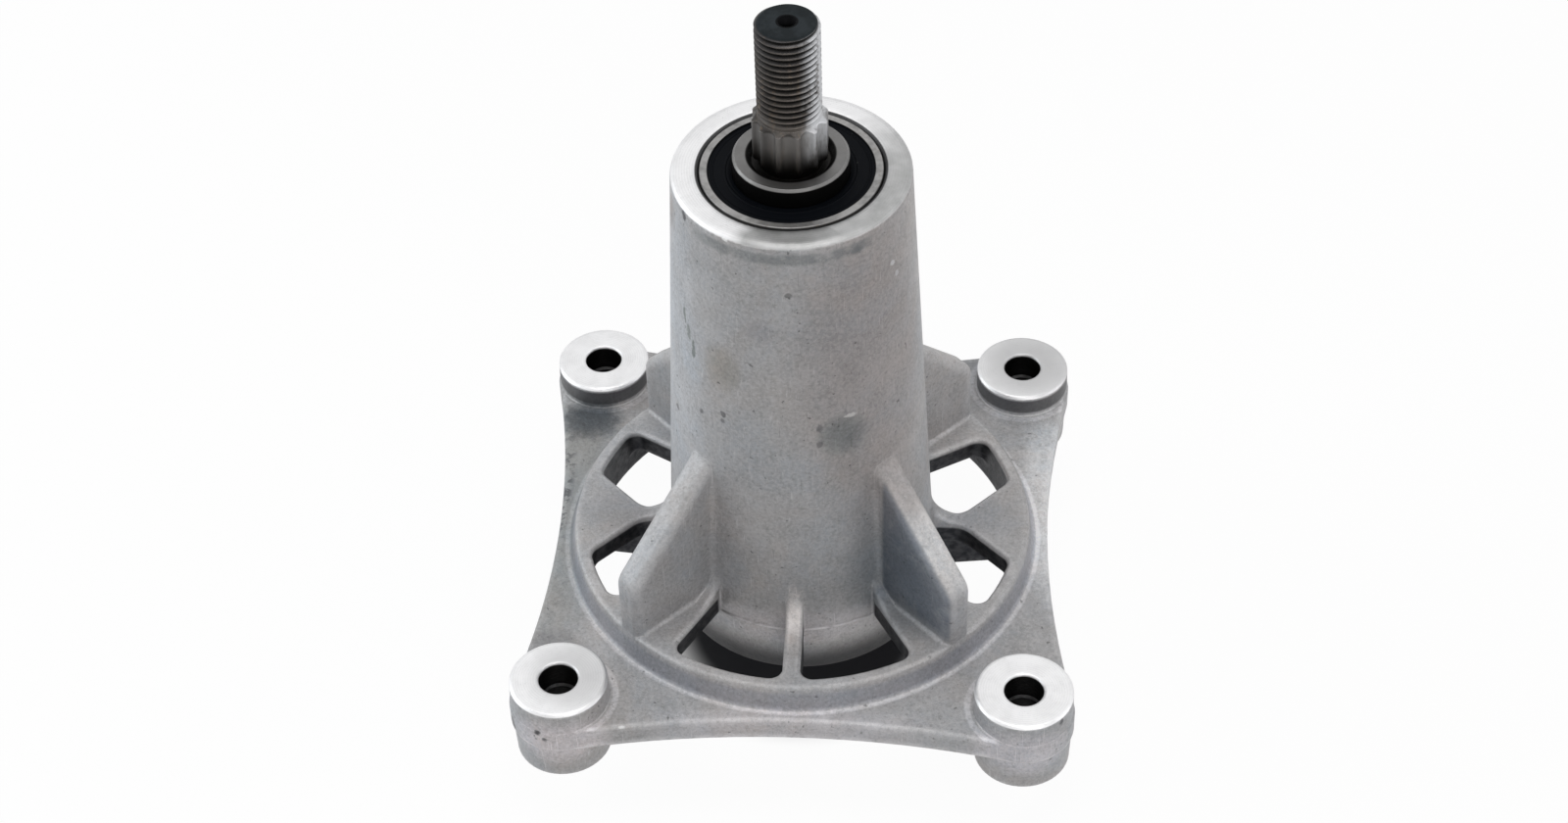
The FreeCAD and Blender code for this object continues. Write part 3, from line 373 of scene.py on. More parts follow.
class Finish(Shading):
    """A procedural material. Its place is in millimetres."""

    def __init__(self, name):
        self.material = bpy.data.materials.new(name)
        super().__init__(self.material, "Object", 1 / MM)
        self.radius = (self.x * self.x + self.y * self.y).sqrt()
        self.raggedness = None

    def ragged(self):
        """Noise about 0 that makes the edges of spots ragged, made once."""
        if self.raggedness is None:
            self.raggedness = self.noise(2.0, 3, 0.6, shift=(3, 3, 9)) * 2.0 - 1.1
        return self.raggedness

    def noise(self, size, detail=2.0, roughness=0.5, stretch=(1, 1, 1), shift=(0, 0, 0), turn=(0, 0, 0),
              warp=0.0):
        """Noise with lumps of about size millimetres, turned by degrees and drawn out by stretch."""
        settings = {"Vector": self.place, "Location": shift, "Rotation": [math.radians(a) for a in turn],
                    "Scale": [1 / (size * s) for s in stretch]}
        scaled = self.node("ShaderNodeMapping", {}, settings).outputs[0]
        node = self.node("ShaderNodeTexNoise", {}, {"Vector": scaled, "Scale": 1.0, "Detail": detail,
                                                    "Roughness": roughness, "Distortion": warp})
        return Value(self, node.outputs[0])

    def scratches(self, width, length, turn=(0, 0, 0), shift=(0, 0, 0), share=0.7):
        """1 on thin marks of that width and length in millimetres, upright before turning."""
        marks = self.noise(width, 1.0, 0.4, stretch=(1, 1, length / width), turn=turn, shift=shift)
        return marks.ramp(share, share + 0.06)

    def corners(self, reach, inside=False):
        """Up to 1 in inside corners, or on outside edges, of that reach in millimetres."""
        node = self.node("ShaderNodeAmbientOcclusion", {"samples": 6, "only_local": True, "inside": inside},
                         {"Distance": reach * MM})
        return (1 - Value(self, node.outputs["AO"])).clamped()

    def spot(self, centre, size, ragged=0.0):
        """1 near a point, falling smoothly to 0 at size millimetres from it (one size per axis).

        Ragged moves the edge out and in by up to that many millimetres.
        """
        total = self.ragged() * (ragged / min(size)) if ragged else 0.0
        for axis, middle, reach in zip((self.x, self.y, self.z), centre, size):
            part = (axis - middle) / reach
            total = part * part + total
        return total.ramp(1.0, 0.0)

    def bump(self, height, distance, strength=1.0, normal=None):
        """Normal bent by a height of 0 to 1 that stands for distance millimetres."""
        sockets = {"Height": height, "Distance": distance * MM, "Strength": strength}
        if normal is not None:
            sockets["Normal"] = normal
        return self.node("ShaderNodeBump", {}, sockets).outputs[0]

    def soft_edges(self, radius):
        """Normal that rounds the edges and the inside corners by radius millimetres."""
        return self.node("ShaderNodeBevel", {"samples": 6}, {"Radius": radius * MM}).outputs[0]

    def blend(self, amount, first, second):
        """Normal that goes from first to second as amount goes from 0 to 1."""
        mixed = self.node("ShaderNodeMix", {"data_type": "VECTOR"}, {0: amount, 4: first, 5: second})
        return mixed.outputs[1]

    def edge_wear(self, soft):
        """1 on edges, where the rounded normal leaves the face's own one."""
        own = self.node("ShaderNodeNewGeometry").outputs["Normal"]
        dot = self.node("ShaderNodeVectorMath", {"operation": "DOT_PRODUCT"}, {0: soft, 1: own})
        return (1 - Value(self, dot.outputs["Value"])).ramp(0.02, 0.25)

    def surface(self, sockets):
        """The material, shaded with those sockets."""
        shader = self.node("ShaderNodeBsdfPrincipled", {}, sockets)
        self.node("ShaderNodeOutputMaterial", {}, {"Surface": shader.outputs[0]})
        return self.material


def give(material, *nodes):
    """Put a material on CAD nodes."""
    for name in nodes:
        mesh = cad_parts[name].data
        mesh.materials.clear()
        mesh.materials.append(material)


def scaled(tint, factor):
    """The colour times a factor."""
    return tuple(min(1.0, c * factor) for c in tint)


def bolt_distance(m):
    """Distance from the nearest bolt hole's axis."""
    aside_x = abs(m.x) - HALF_SPACING
    aside_y = abs(m.y) - HALF_SPACING
    return (aside_x * aside_x + aside_y * aside_y).sqrt()


def faced_rings(m, bolt):
    """Fine turning marks about the bolt axes and the shaft axis, from 0 to 1."""
    return ((bolt.smaller(m.radius) * 11.0 + m.noise(6, 2) * 4.0).sin() * 0.5 + 0.5)


def cast_tone(m, cast, grime_and_shade, edge, bolt, window_wall_shade):
    """Colour of the skin: warm and cool clouds, grain, pores, scratches, smudges and rubbed edges with
    painted edge highlights, and painted light and shade on sides, faces, inside corners, window walls and the
    hub below the web.
    """
    warm = (cast[0] * 1.04, cast[1] * 0.99, cast[2] * 0.955)
    cool = (cast[0] * 0.93, cast[1] * 0.985, cast[2] * 1.04)
    tone = m.mix(m.noise(24, 4, 0.6, warp=0.7).ramp(0.34, 0.66), warm, cool)
    tone = m.mix(m.noise(9, 5, 0.7, shift=(3, 7, 1)).ramp(0.42, 0.72) * 0.55, tone, scaled(cast, 0.70))
    tone = m.mix(m.noise(3.4, 4, 0.65, shift=(6, 1, 2)).ramp(0.40, 0.64) * 0.42, tone, scaled(cast, 0.80))
    tone = m.mix(m.noise(15, 4, 0.6, shift=(8, 1, 5)).ramp(0.50, 0.72) * 0.5, tone, scaled(cast, 1.25))
    tone = m.mix(m.noise(0.8, 3, 0.75).ramp(0.38, 0.66) * 0.55, tone, scaled(cast, 1.34))
    tone = m.mix(m.noise(0.9, 3, 0.7, shift=(5, 2, 8)).ramp(0.50, 0.70) * 0.48, tone, scaled(cast, 0.55))
    tone = m.mix(m.noise(1.7, 2, 0.5, shift=(9, 2, 4)).ramp(0.70, 0.75) * 0.7, tone, scaled(cast, 0.25))
    light = m.scratches(0.28, 9, turn=(18, 12, 0)).larger(m.scratches(0.3, 14, turn=(-35, 40, 0), share=0.73))
    dark = m.scratches(0.35, 11, turn=(8, -24, 0), shift=(4, 4, 4), share=0.73)
    tone = m.mix(light * 0.45, tone, scaled(cast, 1.7))
    tone = m.mix(dark * 0.45, tone, scaled(cast, 0.5))
    # Rubbed edges, ridges and rib tops, lighter also as painted edge highlights
    ridge = m.corners(2.4, inside=True).ramp(0.20, 0.44)
    rib_top = m.corners(4.2, inside=True).ramp(0.12, 0.40) * m.z.ramp(2.0, 5.0)
    wear_and_highlight = edge.larger(ridge).larger(rib_top * 0.6) * m.z.ramp(RIM - 1.0, RIM - 3.0)
    wear_and_highlight = wear_and_highlight * m.noise(3.5, 3, 0.6, shift=(2, 6, 2)).ramp(0.25, 0.6)
    tone = m.mix(wear_and_highlight * 0.85, tone, scaled(cast, 1.9))
    # Stains, painted light and painted shade, multiplied into the skin
    for centre, size, tint in CAST_STAINS_AND_PAINTED_LIGHT:
        tone = m.mix(m.spot(centre, size, 1.4), tone, tint, "MULTIPLY")
    for centre, size, amount, tint in CAST_MARKS:
        tone = m.mix(m.spot(centre, size, 1.4) * amount, tone, tint)
    flakes = m.noise(3.2, 4, 0.7, shift=(1, 9, 3)).ramp(0.50, 0.56) * m.x.ramp(-56.0, -57.5)
    flakes = flakes * m.spot((-60.0, 12.0, -9.0), (7.0, 27.0, 9.0))
    tone = m.mix(flakes * 0.75, tone, (0.04, 0.045, 0.055))
    across = m.x + m.y
    # Painted shade, cool, on the side of the front-right gusset that faces front-left
    gusset_side_shade = across.between(-10.0, -7.0, -4.6, -3.2) * m.x.ramp(8.0, 14.0)
    gusset_side_shade = gusset_side_shade * m.radius.ramp(HUB_RADIUS + 0.2, HUB_RADIUS + 1.6) * m.z.ramp(-1.0, 4.0)
    gusset_side_shade = gusset_side_shade * m.noise(7, 3, 0.6, shift=(3, 3, 9)).ramp(0.0, 0.5)
    tone = m.mix(gusset_side_shade, tone, (0.47, 0.51, 0.57), "MULTIPLY")
    # Painted shade, cool and uneven, on the outer side of the plateau
    painted_dark_wall = m.radius.between(WEB_RADIUS - 1.3, WEB_RADIUS - 0.8, WEB_RADIUS + 0.2, WEB_RADIUS + 0.9)
    painted_dark_wall = painted_dark_wall * m.z.ramp(-0.9, -2.2) * (0.55 + 0.7 * m.noise(14, 2, 0.5, shift=(4, 8, 8)))
    tone = m.mix(painted_dark_wall, tone, (0.78, 0.80, 0.86), "MULTIPLY")
    # Painted highlight on the fillets at the foot of the plateau and round the boss bases
    foot = m.radius.between(WEB_RADIUS + 0.5, WEB_RADIUS + 0.9, WEB_RADIUS + 1.4, WEB_RADIUS + 2.0)
    boss_foot = bolt.between(BOSS_RADIUS + 0.5, BOSS_RADIUS + 1.0, BOSS_RADIUS + 1.9, BOSS_RADIUS + 2.4)
    boss_foot = boss_foot * m.z.ramp(PLATE_TOP + 1.4, PLATE_TOP + 0.8)
    feet_highlight = foot.larger(boss_foot) * m.z.ramp(PLATE_TOP - 0.5, PLATE_TOP - 0.2)
    tone = m.mix(feet_highlight * 0.8, tone, (1.42, 1.42, 1.44), "MULTIPLY")
    front_band = m.z.between(RIM - 5.3, RIM - 4.0, RIM - 2.5, RIM - 1.5) * m.y.ramp(-15.0, -21.0)
    smear = m.noise(4, 3, 0.6, shift=(2, 2, 6)).ramp(0.25, 0.6)
    tone = m.mix(front_band * smear * 0.55, tone, (0.15, 0.175, 0.185))
    # Oily dirt and painted shade in inside corners
    corner_grime_and_shade = m.corners(4.5)
    tone = m.mix(corner_grime_and_shade.ramp(0.40, 0.95) * 0.38, tone, grime_and_shade)
    # Painted shade, almost black, on the window walls
    tone = m.mix(window_wall_shade, tone, (0.018, 0.019, 0.023))
    # Painted shade, almost black, on the hub below the web
    low_hub_shade = m.z.ramp(-9.0, -17.5) * m.radius.ramp(HUB_RADIUS + 2.0, HUB_RADIUS + 1.0)
    return m.mix(low_hub_shade * 0.95, tone, (0.008, 0.008, 0.010))


def cast_finish(finishes):
    """Sand-grey casting: grainy skin, faced boss tops and rim with painted shade and reflection on them, oily
    holes with painted shade, and rubbed edges with painted highlights.
    """
    m = Finish("cast_aluminium_skin")
    cast, machined, grime_and_shade = tuple(finishes.cast), tuple(finishes.machined), tuple(finishes.grime_and_shade)
    soft = m.soft_edges(1.0)
    edge = m.edge_wear(soft)
    soft = m.blend(m.z.ramp(1.0, 3.0), soft, m.soft_edges(2.6))
    bolt = bolt_distance(m)
    boss_top = m.z.ramp(-0.75, -0.45) * bolt.ramp(BOSS_RADIUS + 0.4, BOSS_RADIUS - 0.2)
    # Sides of the back bosses, where painted shade goes
    back_boss_shade = m.z.between(PLATE_TOP + 0.6, PLATE_TOP + 1.4, -1.5, -0.8)
    back_boss_shade = back_boss_shade * bolt.ramp(BOSS_RADIUS + 1.8, BOSS_RADIUS + 1.0) * m.y.ramp(30.0, 36.0)
    rim_top = m.z.ramp(RIM - 0.9, RIM - 0.35)
    faced = boss_top.larger(rim_top)
    rings = faced_rings(m, bolt)
    windows = m.radius.between(HUB_RADIUS + 0.6, HUB_RADIUS + 1.4, WINDOW_RADIUS + 0.4, WINDOW_RADIUS + 1.6)
    # Where painted shade darkens the window walls almost to black and makes them metallic
    window_wall_shade = windows * m.z.ramp(-0.55, -1.5) * (0.92 + 0.08 * m.noise(1.6, 3, 0.5).ramp(0.3, 0.7))

    tone = cast_tone(m, cast, grime_and_shade, edge, bolt, window_wall_shade)
    stain = m.noise(5, 5, 0.65, shift=(6, 3, 2))
    bright = m.mix(rings * 0.22 + stain.ramp(0.35, 0.75) * 0.4, machined, scaled(machined, 0.74))
    # A stain on the rim's front, and a painted reflection that darkens the turned rim towards the front and
    # the right
    rim_stain_and_reflection = m.spot((2.0, -24.0, RIM), (15.0, 8.0, 5.0)) * 1.6
    rim_stain_and_reflection = rim_stain_and_reflection.smaller(0.74).larger(rim_top * (m.x * 0.7 - m.y * 0.3).ramp(2.0, 18.0) * 0.77)
    bright = m.mix(rim_stain_and_reflection * (0.85 + 0.6 * (stain - 0.5)), bright, (0.20, 0.205, 0.20))
    # Painted shade on the right part of the front-left boss top, and a darker back-right boss top
    bright = m.mix(m.spot((54.0, 54.0, 0.0), (16.0, 16.0, 2.0)) * 0.72, bright, scaled(machined, 0.45))
    bright = m.mix(m.spot((-49.0, -51.0, 0.0), (13.0, 13.0, 2.0)) * 0.6, bright, scaled(machined, 0.5))
    bright = m.mix(m.scratches(0.25, 6, turn=(90, 0, 35), share=0.68) * 0.4, bright, scaled(machined, 0.5))
    # Painted shade, almost black, on the sides of the back bosses
    tone = m.mix(back_boss_shade * 0.82, tone, (0.055, 0.056, 0.060))
    tone = m.mix(faced, tone, bright)
    seam = rim_top * m.radius.ramp(BEARING_RADIUS + 0.75, BEARING_RADIUS + 0.45)
    tone = m.mix(seam * 0.93, tone, (0.012, 0.012, 0.013))
    # Oily dirt and painted shade, almost black, inside the bolt holes, lighter on their step
    hole_grime_and_shade = bolt.ramp(HOLE_RADIUS + 0.25, HOLE_RADIUS + 0.05) * m.z.ramp(-0.3, -0.7)
    step = m.z.between(HOLE_STEP - 0.65, HOLE_STEP - 0.45, HOLE_STEP + 0.05, HOLE_STEP + 0.25)
    tone = m.mix(hole_grime_and_shade * (0.98 - 0.4 * step), tone, scaled(grime_and_shade, 0.12))

    height = m.noise(0.7, 4, 0.7) * 0.6 + m.noise(2.8, 4, 0.6) * 0.7 + m.noise(9, 3, 0.5) * 0.8
    normal = m.bump(height * (1 - faced), 0.30, 0.55, soft)
    normal = m.bump((rings + m.noise(0.4, 2, 0.6) * 0.5) * faced, 0.02, 0.6, normal)
    roughness = 0.50 - 0.10 * faced - 0.10 * edge + 0.22 * (m.noise(4, 4, 0.65, shift=(7, 7, 2)) - 0.5)
    metal = 0.26 + 0.50 * faced + 0.70 * window_wall_shade.larger(hole_grime_and_shade)
    return m.surface({"Base Color": tone, "Roughness": roughness, "Metallic": metal, "Normal": normal})


def shaft_finish(finishes, sizes):
    """Turned steel, black in the thread's roots, with painted shade at its foot, in the centre hole and on
    its left side, painted highlights on its right side and edges, and a matt dark end face.
    """
    m = Finish("turned_shaft_steel")
    steel, grime_and_shade = tuple(finishes.steel), tuple(finishes.grime_and_shade)
    top, thread = top_of("shaft"), sizes.thread_radius / MM
    thread_bottom = top - sizes.thread_length / MM
    stain = m.noise(4, 4, 0.65)
    streak = m.noise(1.3, 3, 0.6, stretch=(1, 1, 7))
    lathe = m.noise(0.3, 2, 0.6, stretch=(40, 40, 1))
    threaded = m.z.ramp(thread_bottom - 0.2, thread_bottom + 0.2)
    root = m.radius.ramp(thread - 0.28, thread - 0.75) * threaded
    crest = m.radius.ramp(thread - 0.22, thread - 0.04) * threaded
    centre_hole = m.radius.ramp(CENTRE_HOLE_RADIUS + 0.55, CENTRE_HOLE_RADIUS + 0.25)
    centre_hole = centre_hole * m.z.ramp(top - 8.0, top - 7.0)
    blued = m.z.ramp(top - 11.0, top - 5.0) * (0.5 + 0.5 * stain)
    end_face = m.z.ramp(top - 0.45, top - 0.15)
    soft = m.soft_edges(0.15)
    foot = m.z.ramp(INNER_FACE + 7.0, INNER_FACE + 0.5) * m.z.ramp(RIM - 4, RIM - 3)
    tone = m.mix(stain.ramp(0.3, 0.7), scaled(steel, 1.15), scaled(steel, 0.60))
    tone = m.mix(streak.ramp(0.52, 0.78) * 0.5, tone, (0.26, 0.19, 0.13))
    tone = m.mix(blued * 0.6, tone, (0.060, 0.062, 0.070))
    splined = m.z.ramp(thread_bottom - 0.6, thread_bottom - 1.2) * (1 - foot)
    tone = m.mix(splined * (0.3 + 0.7 * stain), tone, (0.25, 0.24, 0.23))
    # Painted shade, almost black, at the spline's foot where it goes down into the inner ring
    tone = m.mix(foot * 0.95, tone, scaled(grime_and_shade, 0.2))
    # Rubbed thread crests, lighter also as painted highlights
    tone = m.mix(crest * 0.5, tone, (0.125, 0.108, 0.094))
    # Painted highlight, streaky, down the shaft's right side
    right_highlight = m.x.ramp(2.2, 5.6) * m.noise(2.2, 3, 0.6, stretch=(1, 1, 3)).ramp(0.25, 0.55)
    tone = m.mix(right_highlight * (1 - foot) * 0.9, tone, (0.60, 0.61, 0.63))
    # Painted shade on the shaft's left side
    tone = m.mix(m.x.ramp(-1.5, -5.0) * 0.9, tone, (0.55, 0.55, 0.56), "MULTIPLY")
    # Rubbed edges on the spline and the chamfers, lighter also as painted highlights
    tone = m.mix(m.edge_wear(soft) * (1 - threaded) * (1 - foot) * 0.8, tone, (0.62, 0.60, 0.57))
    tone = m.mix(root * 0.94, tone, scaled(grime_and_shade, 0.15))
    dark_end = m.mix(stain.ramp(0.4, 0.7), (0.016, 0.021, 0.024), (0.036, 0.044, 0.050))
    tone = m.mix(end_face * 0.9, tone, dark_end)
    # Painted shade, almost black, in the centre hole
    tone = m.mix(centre_hole * 0.96, tone, (0.002, 0.002, 0.003))
    roughness = 0.30 + 0.22 * stain + 0.15 * end_face + 0.2 * root
    normal = m.bump(lathe + m.noise(0.5, 3, 0.6) * 0.4, 0.02, 0.5, soft)
    return m.surface({"Base Color": tone, "Roughness": roughness, "Metallic": 0.85, "Normal": normal})


def ring_finish(finishes):
    """Ground bearing steel with fine rings and dark seams, a painted black reflection of the seal on the
    inner ring's outer side, painted shade with grease in the bore, and painted highlights on the inner ring's
    edges.
    """
    m = Finish("ground_bearing_steel")
    ring, grime_and_shade = tuple(finishes.ring), tuple(finishes.grime_and_shade)
    stain = m.noise(3.5, 5, 0.65)
    rings = (m.radius * 38.0).sin() * 0.5 + 0.5
    soft = m.soft_edges(0.2)
    tone = m.mix(stain.ramp(0.35, 0.72) * 0.75, ring, scaled(ring, 0.42))
    tone = m.mix(m.noise(1.2, 3, 0.6, shift=(4, 1, 7)).ramp(0.6, 0.72) * 0.4, tone, (0.20, 0.16, 0.12))
    inner_ring = m.radius.ramp(INNER_RING_RADIUS + 0.4, INNER_RING_RADIUS + 0.2)
    tip = m.z.ramp(INNER_FACE - 0.65, INNER_FACE - 0.25)
    # Outer side of the inner ring, for a painted black reflection of the seal
    painted_dark_wall = m.radius.ramp(INNER_RING_RADIUS - 0.25, INNER_RING_RADIUS - 0.1) * inner_ring * (1 - tip)
    # Bore and lead chamfer of the inner ring, for painted shade with grease
    bore = m.radius.ramp(BEARING_BORE_RADIUS + 1.4, BEARING_BORE_RADIUS + 1.05)
    seam = m.radius.ramp(BEARING_RADIUS - 0.55, BEARING_RADIUS - 0.3)
    lip = m.radius.between(SEAL_RADIUS - 0.5, SEAL_RADIUS - 0.3, SEAL_RADIUS + 0.05, SEAL_RADIUS + 0.2)
    inner_top = inner_ring * tip
    tone = m.mix(inner_top * 0.85, tone, scaled(ring, 0.42))
    # Rubbed edges of the inner ring's face, lighter also as painted highlights
    tone = m.mix(m.edge_wear(soft) * inner_top * 0.6, tone, (0.75, 0.75, 0.76))
    # Painted reflection and painted shade, almost black, on the inner ring's side and bore, and dark seams
    tone = m.mix(painted_dark_wall.larger(bore).larger(seam).larger(lip) * 0.97, tone, scaled(grime_and_shade, 0.12))
    roughness = 0.27 + 0.2 * stain
    normal = m.bump(rings * 0.5 + m.noise(0.3, 2) * 0.5, 0.008, 0.5, soft)
    return m.surface({"Base Color": tone, "Roughness": roughness, "Metallic": 0.9, "Normal": normal})


def seal_finish(finishes):
    """Black moulded rubber with shallow moulded rings, dust and a few pale crumbs."""
    m = Finish("seal_rubber_skin")
    rubber = tuple(finishes.rubber)
    dust = m.noise(2.5, 5, 0.7)
    rings = abs(m.radius - 14.2).ramp(0.35, 0.1).larger(abs(m.radius - 16.9).ramp(0.3, 0.1))
    crumbs = m.noise(0.7, 2, 0.5, shift=(2, 5, 1)).ramp(0.76, 0.80)
    tone = m.mix(dust.ramp(0.55, 0.85) * 0.35, rubber, (0.014, 0.017, 0.023))
    tone = m.mix(crumbs * 0.6, tone, (0.25, 0.25, 0.24))
    normal = m.bump(rings, 0.25, 0.8)
    normal = m.bump(m.noise(0.4, 3), 0.03, 0.5, normal)
    return m.surface({"Base Color": tone, "Roughness": 0.45 + 0.2 * dust, "Metallic": 0.0, "Normal": normal,
                      "Specular IOR Level": 0.05})


def cage_finish(finishes):
    """Pressed steel sheet with rolling marks and a film of grease."""
    m = Finish("pressed_cage_steel")
    ring = tuple(finishes.ring)
    mark = m.noise(0.8, 3, 0.6, stretch=(1, 1, 5))
    film = m.noise(3, 3, 0.5)
    tone = m.mix(film.ramp(0.3, 0.8) * 0.5, scaled(ring, 0.8), (0.30, 0.26, 0.18))
    return m.surface({"Base Color": tone, "Roughness": 0.35 + 0.2 * mark, "Metallic": 0.9,
                      "Normal": m.bump(mark, 0.02, 0.4)})


def sleeve_finish(finishes):
    """Drawn steel tube with long marks."""
    m = Finish("drawn_sleeve_steel")
    steel = tuple(finishes.steel)
    mark = m.noise(0.5, 3, 0.6, stretch=(1, 1, 30))
    stain = m.noise(6, 3, 0.6)
    tone = m.mix(stain.ramp(0.3, 0.7), steel, scaled(steel, 0.7))
    return m.surface({"Base Color": tone, "Roughness": 0.38 + 0.2 * mark, "Metallic": 0.95,
                      "Normal": m.bump(mark, 0.015, 0.5)})


def thread_radius_at(z, turn, bottom, top, outside, pitch, depth, inward=1.0):
    """Radius of a screw thread at height z and angle turn.

    The distance to the nearest crest line is measured along the axis. The radius stays at the outside
    for a sixteenth of a pitch, then falls along a 30 degree flank and levels out at the full depth.
    The depth fades to nothing over the last turn.
    """
    phase = (z - bottom) / pitch - turn / (2 * np.pi)
    aside = np.abs(phase - np.floor(phase) - 0.5) * pitch
    fall = np.clip((aside - pitch / 16) * math.sqrt(3), 0, depth)
    fade = np.clip((z - bottom) / pitch, 0, 1) * np.clip((top - z) / (0.05 * pitch) + 1, 0, 1)
    return outside - inward * fall * fade


def flute_radius_at(turn, outside, radius, depth, count):
    """Radius of a fluted shaft at angle turn: the outside circle, cut by count circles of the flute
    radius whose centres lie outside it so that each reaches depth below it."""
    step = 2 * np.pi / count
    aside = (turn + step / 2) % step - step / 2
    centre = outside - depth + radius
    under = np.clip(radius ** 2 - (centre * np.sin(aside)) ** 2, 0, None)
    cut = centre * np.cos(aside) - np.sqrt(under)
    return np.where(under > 0, np.minimum(outside, cut), outside)


def straight(start, end, steps):
    """Profile points from start to end, the end left out."""
    share = np.linspace(0, 1, steps, endpoint=False)[:, None]
    return np.array(start) * (1 - share) + np.array(end) * share


def shaft_surface(sizes):
    """Vertices and faces of the shaft.

    A profile of radius and height runs from the centre hole, down the outside and up into the tapped
    hole. At each point the radius is the smallest of the profile's own and, where they apply, the
    thread's and the flutes' at that height and angle.
    """
    thread, spline, bore, neck, seat, collar, flute = (
        getattr(sizes, part + "_radius") / MM
        for part in ("thread", "spline", "bore", "neck", "seat", "collar", "flute"))
    thread_length, pitch, thread_depth = (
        getattr(sizes, "thread_" + part) / MM for part in ("length", "pitch", "depth"))
    flute_depth, cone = sizes.flute_depth / MM, sizes.spline_chamfer / MM
    top, foot = top_of("shaft"), bottom_of("shaft")
    thread_bottom = top - thread_length
    seat_top = top_of("upper_inner_ring") - LEAD_DEPTH
    neck_top = seat_top + NECK_LENGTH
    collar_top = bottom_of("lower_inner_ring")
    collar_bottom = collar_top - COLLAR_LENGTH
    hole_top = foot + TAPPED_DEPTH
    tapping_top = foot + DRIVE_CHAMFER + TAPPING_LENGTH
    tapping_steps = round(TAPPING_LENGTH * STEPS_PER_MM)
    chamfer_bottom = top - END_CHAMFER_HEIGHT
    thread_steps = round((chamfer_bottom - thread_bottom) * STEPS_PER_MM)
    collar_edge = collar - COLLAR_CHAMFER
    corners = [
        ((0, top - 4.6), 1), ((0.8, top - 4.2), 1), ((0.8, top - 2.0), 3), ((CENTRE_HOLE_RADIUS, top), 1),
        ((CENTRE_HOLE_RADIUS + 0.35, top), 2), ((thread - END_CHAMFER, top), 8),
        ((thread, chamfer_bottom), thread_steps),
        ((thread, thread_bottom), 10), ((spline, thread_bottom - cone), 6),
        ((spline, neck_top + SPLINE_END_CHAMFER), 3), ((spline - SPLINE_END_CHAMFER, neck_top), 2),
        ((neck, neck_top), 1), ((neck, seat_top), 2), ((seat, seat_top), 1),
        ((seat, collar_top), 2), ((collar_edge, collar_top), 2), ((collar, collar_top - COLLAR_CHAMFER), 2),
        ((collar, collar_bottom + COLLAR_CHAMFER), 2), ((collar_edge, collar_bottom), 2),
        ((spline, collar_bottom), 2),
        ((spline, foot + DRIVE_CHAMFER), 4), ((spline - DRIVE_CHAMFER, foot), 2),
        ((bore + DRIVE_CHAMFER, foot), 6), ((bore, foot + DRIVE_CHAMFER), tapping_steps),
        ((bore, tapping_top), 1), ((bore, hole_top), 2), ((0, hole_top + bore * 0.6), 1),
    ]
    runs = [straight(a, b, steps) for (a, steps), (b, _) in zip(corners, corners[1:])]
    profile = np.concatenate(runs + [np.array([corners[-1][0]])])
    own, z = profile[:, :1], profile[:, 1:]
    turn = np.linspace(0, 2 * np.pi, sizes.around, endpoint=False)[None, :]
    radius = own + 0 * turn

    tapped_rows = tapping_steps + 6  # from the lower end's chamfer up to the top of the hole
    outside = np.arange(len(profile))[:, None] < len(profile) - tapped_rows
    nut = thread_radius_at(z, turn, thread_bottom + RUN_OUT, top, thread, pitch, thread_depth)
    on_thread = outside & (z > thread_bottom + RUN_OUT) & (own > thread - END_CHAMFER - 0.01)
    radius = np.where(on_thread, np.minimum(radius, nut), radius)
    fluted = flute_radius_at(turn, spline, flute, flute_depth, sizes.flutes)
    on_spline = outside & (z > neck_top - 0.01) & (z < thread_bottom + 0.01) & (own > neck)
    on_drive = outside & (z < collar_bottom + 0.001) & (own <= spline) & (own > bore + 1)
    radius = np.where(on_spline | on_drive, np.minimum(radius, fluted), radius)
    in_tapping = ~outside & (z < tapping_top) & (z > foot + DRIVE_CHAMFER) & (own < bore + 0.01)
    wave = thread_radius_at(z, turn, foot - TAPPING_LEAD, tapping_top + TAPPING_LEAD, TAPPING_DEPTH, pitch,
                            TAPPING_DEPTH)
    radius = np.where(in_tapping, bore + wave * np.clip((tapping_top - z) / pitch, 0, 1), radius)

    grid = np.stack([radius * np.cos(turn), radius * np.sin(turn), z + 0 * turn], axis=-1)[1:-1]
    rows, around = grid.shape[:2]
    first = np.array([[0, 0, profile[0, 1]]])
    last = np.array([[0, 0, profile[-1, 1]]])
    points = np.concatenate([grid.reshape(-1, 3), first, last]) * MM
    index = np.arange(rows * around).reshape(rows, around)
    beside = np.roll(index, -1, axis=1)
    quads = np.stack([index[:-1], index[1:], beside[1:], beside[:-1]], axis=-1).reshape(-1, 4)
    head = np.stack([np.full(around, rows * around), index[0], beside[0]], axis=-1)
    tail = np.stack([np.full(around, rows * around + 1), beside[-1], index[-1]], axis=-1)
    return points, quads.tolist() + head.tolist() + tail.tolist()


def mesh_object(name, points, faces, material, crease=32.0):
    """Object with a smooth mesh whose edges over crease degrees stay sharp."""
    mesh = bpy.data.meshes.new(name)
    mesh.from_pydata(points, [], faces)
    mesh.update()
    mesh.polygons.foreach_set("use_smooth", np.ones(len(mesh.polygons), dtype=bool))
    mesh.set_sharp_from_angle(angle=math.radians(crease))
    mesh.materials.append(material)
    piece = bpy.data.objects.new(name, mesh)
    bpy.context.scene.collection.objects.link(piece)
    return piece


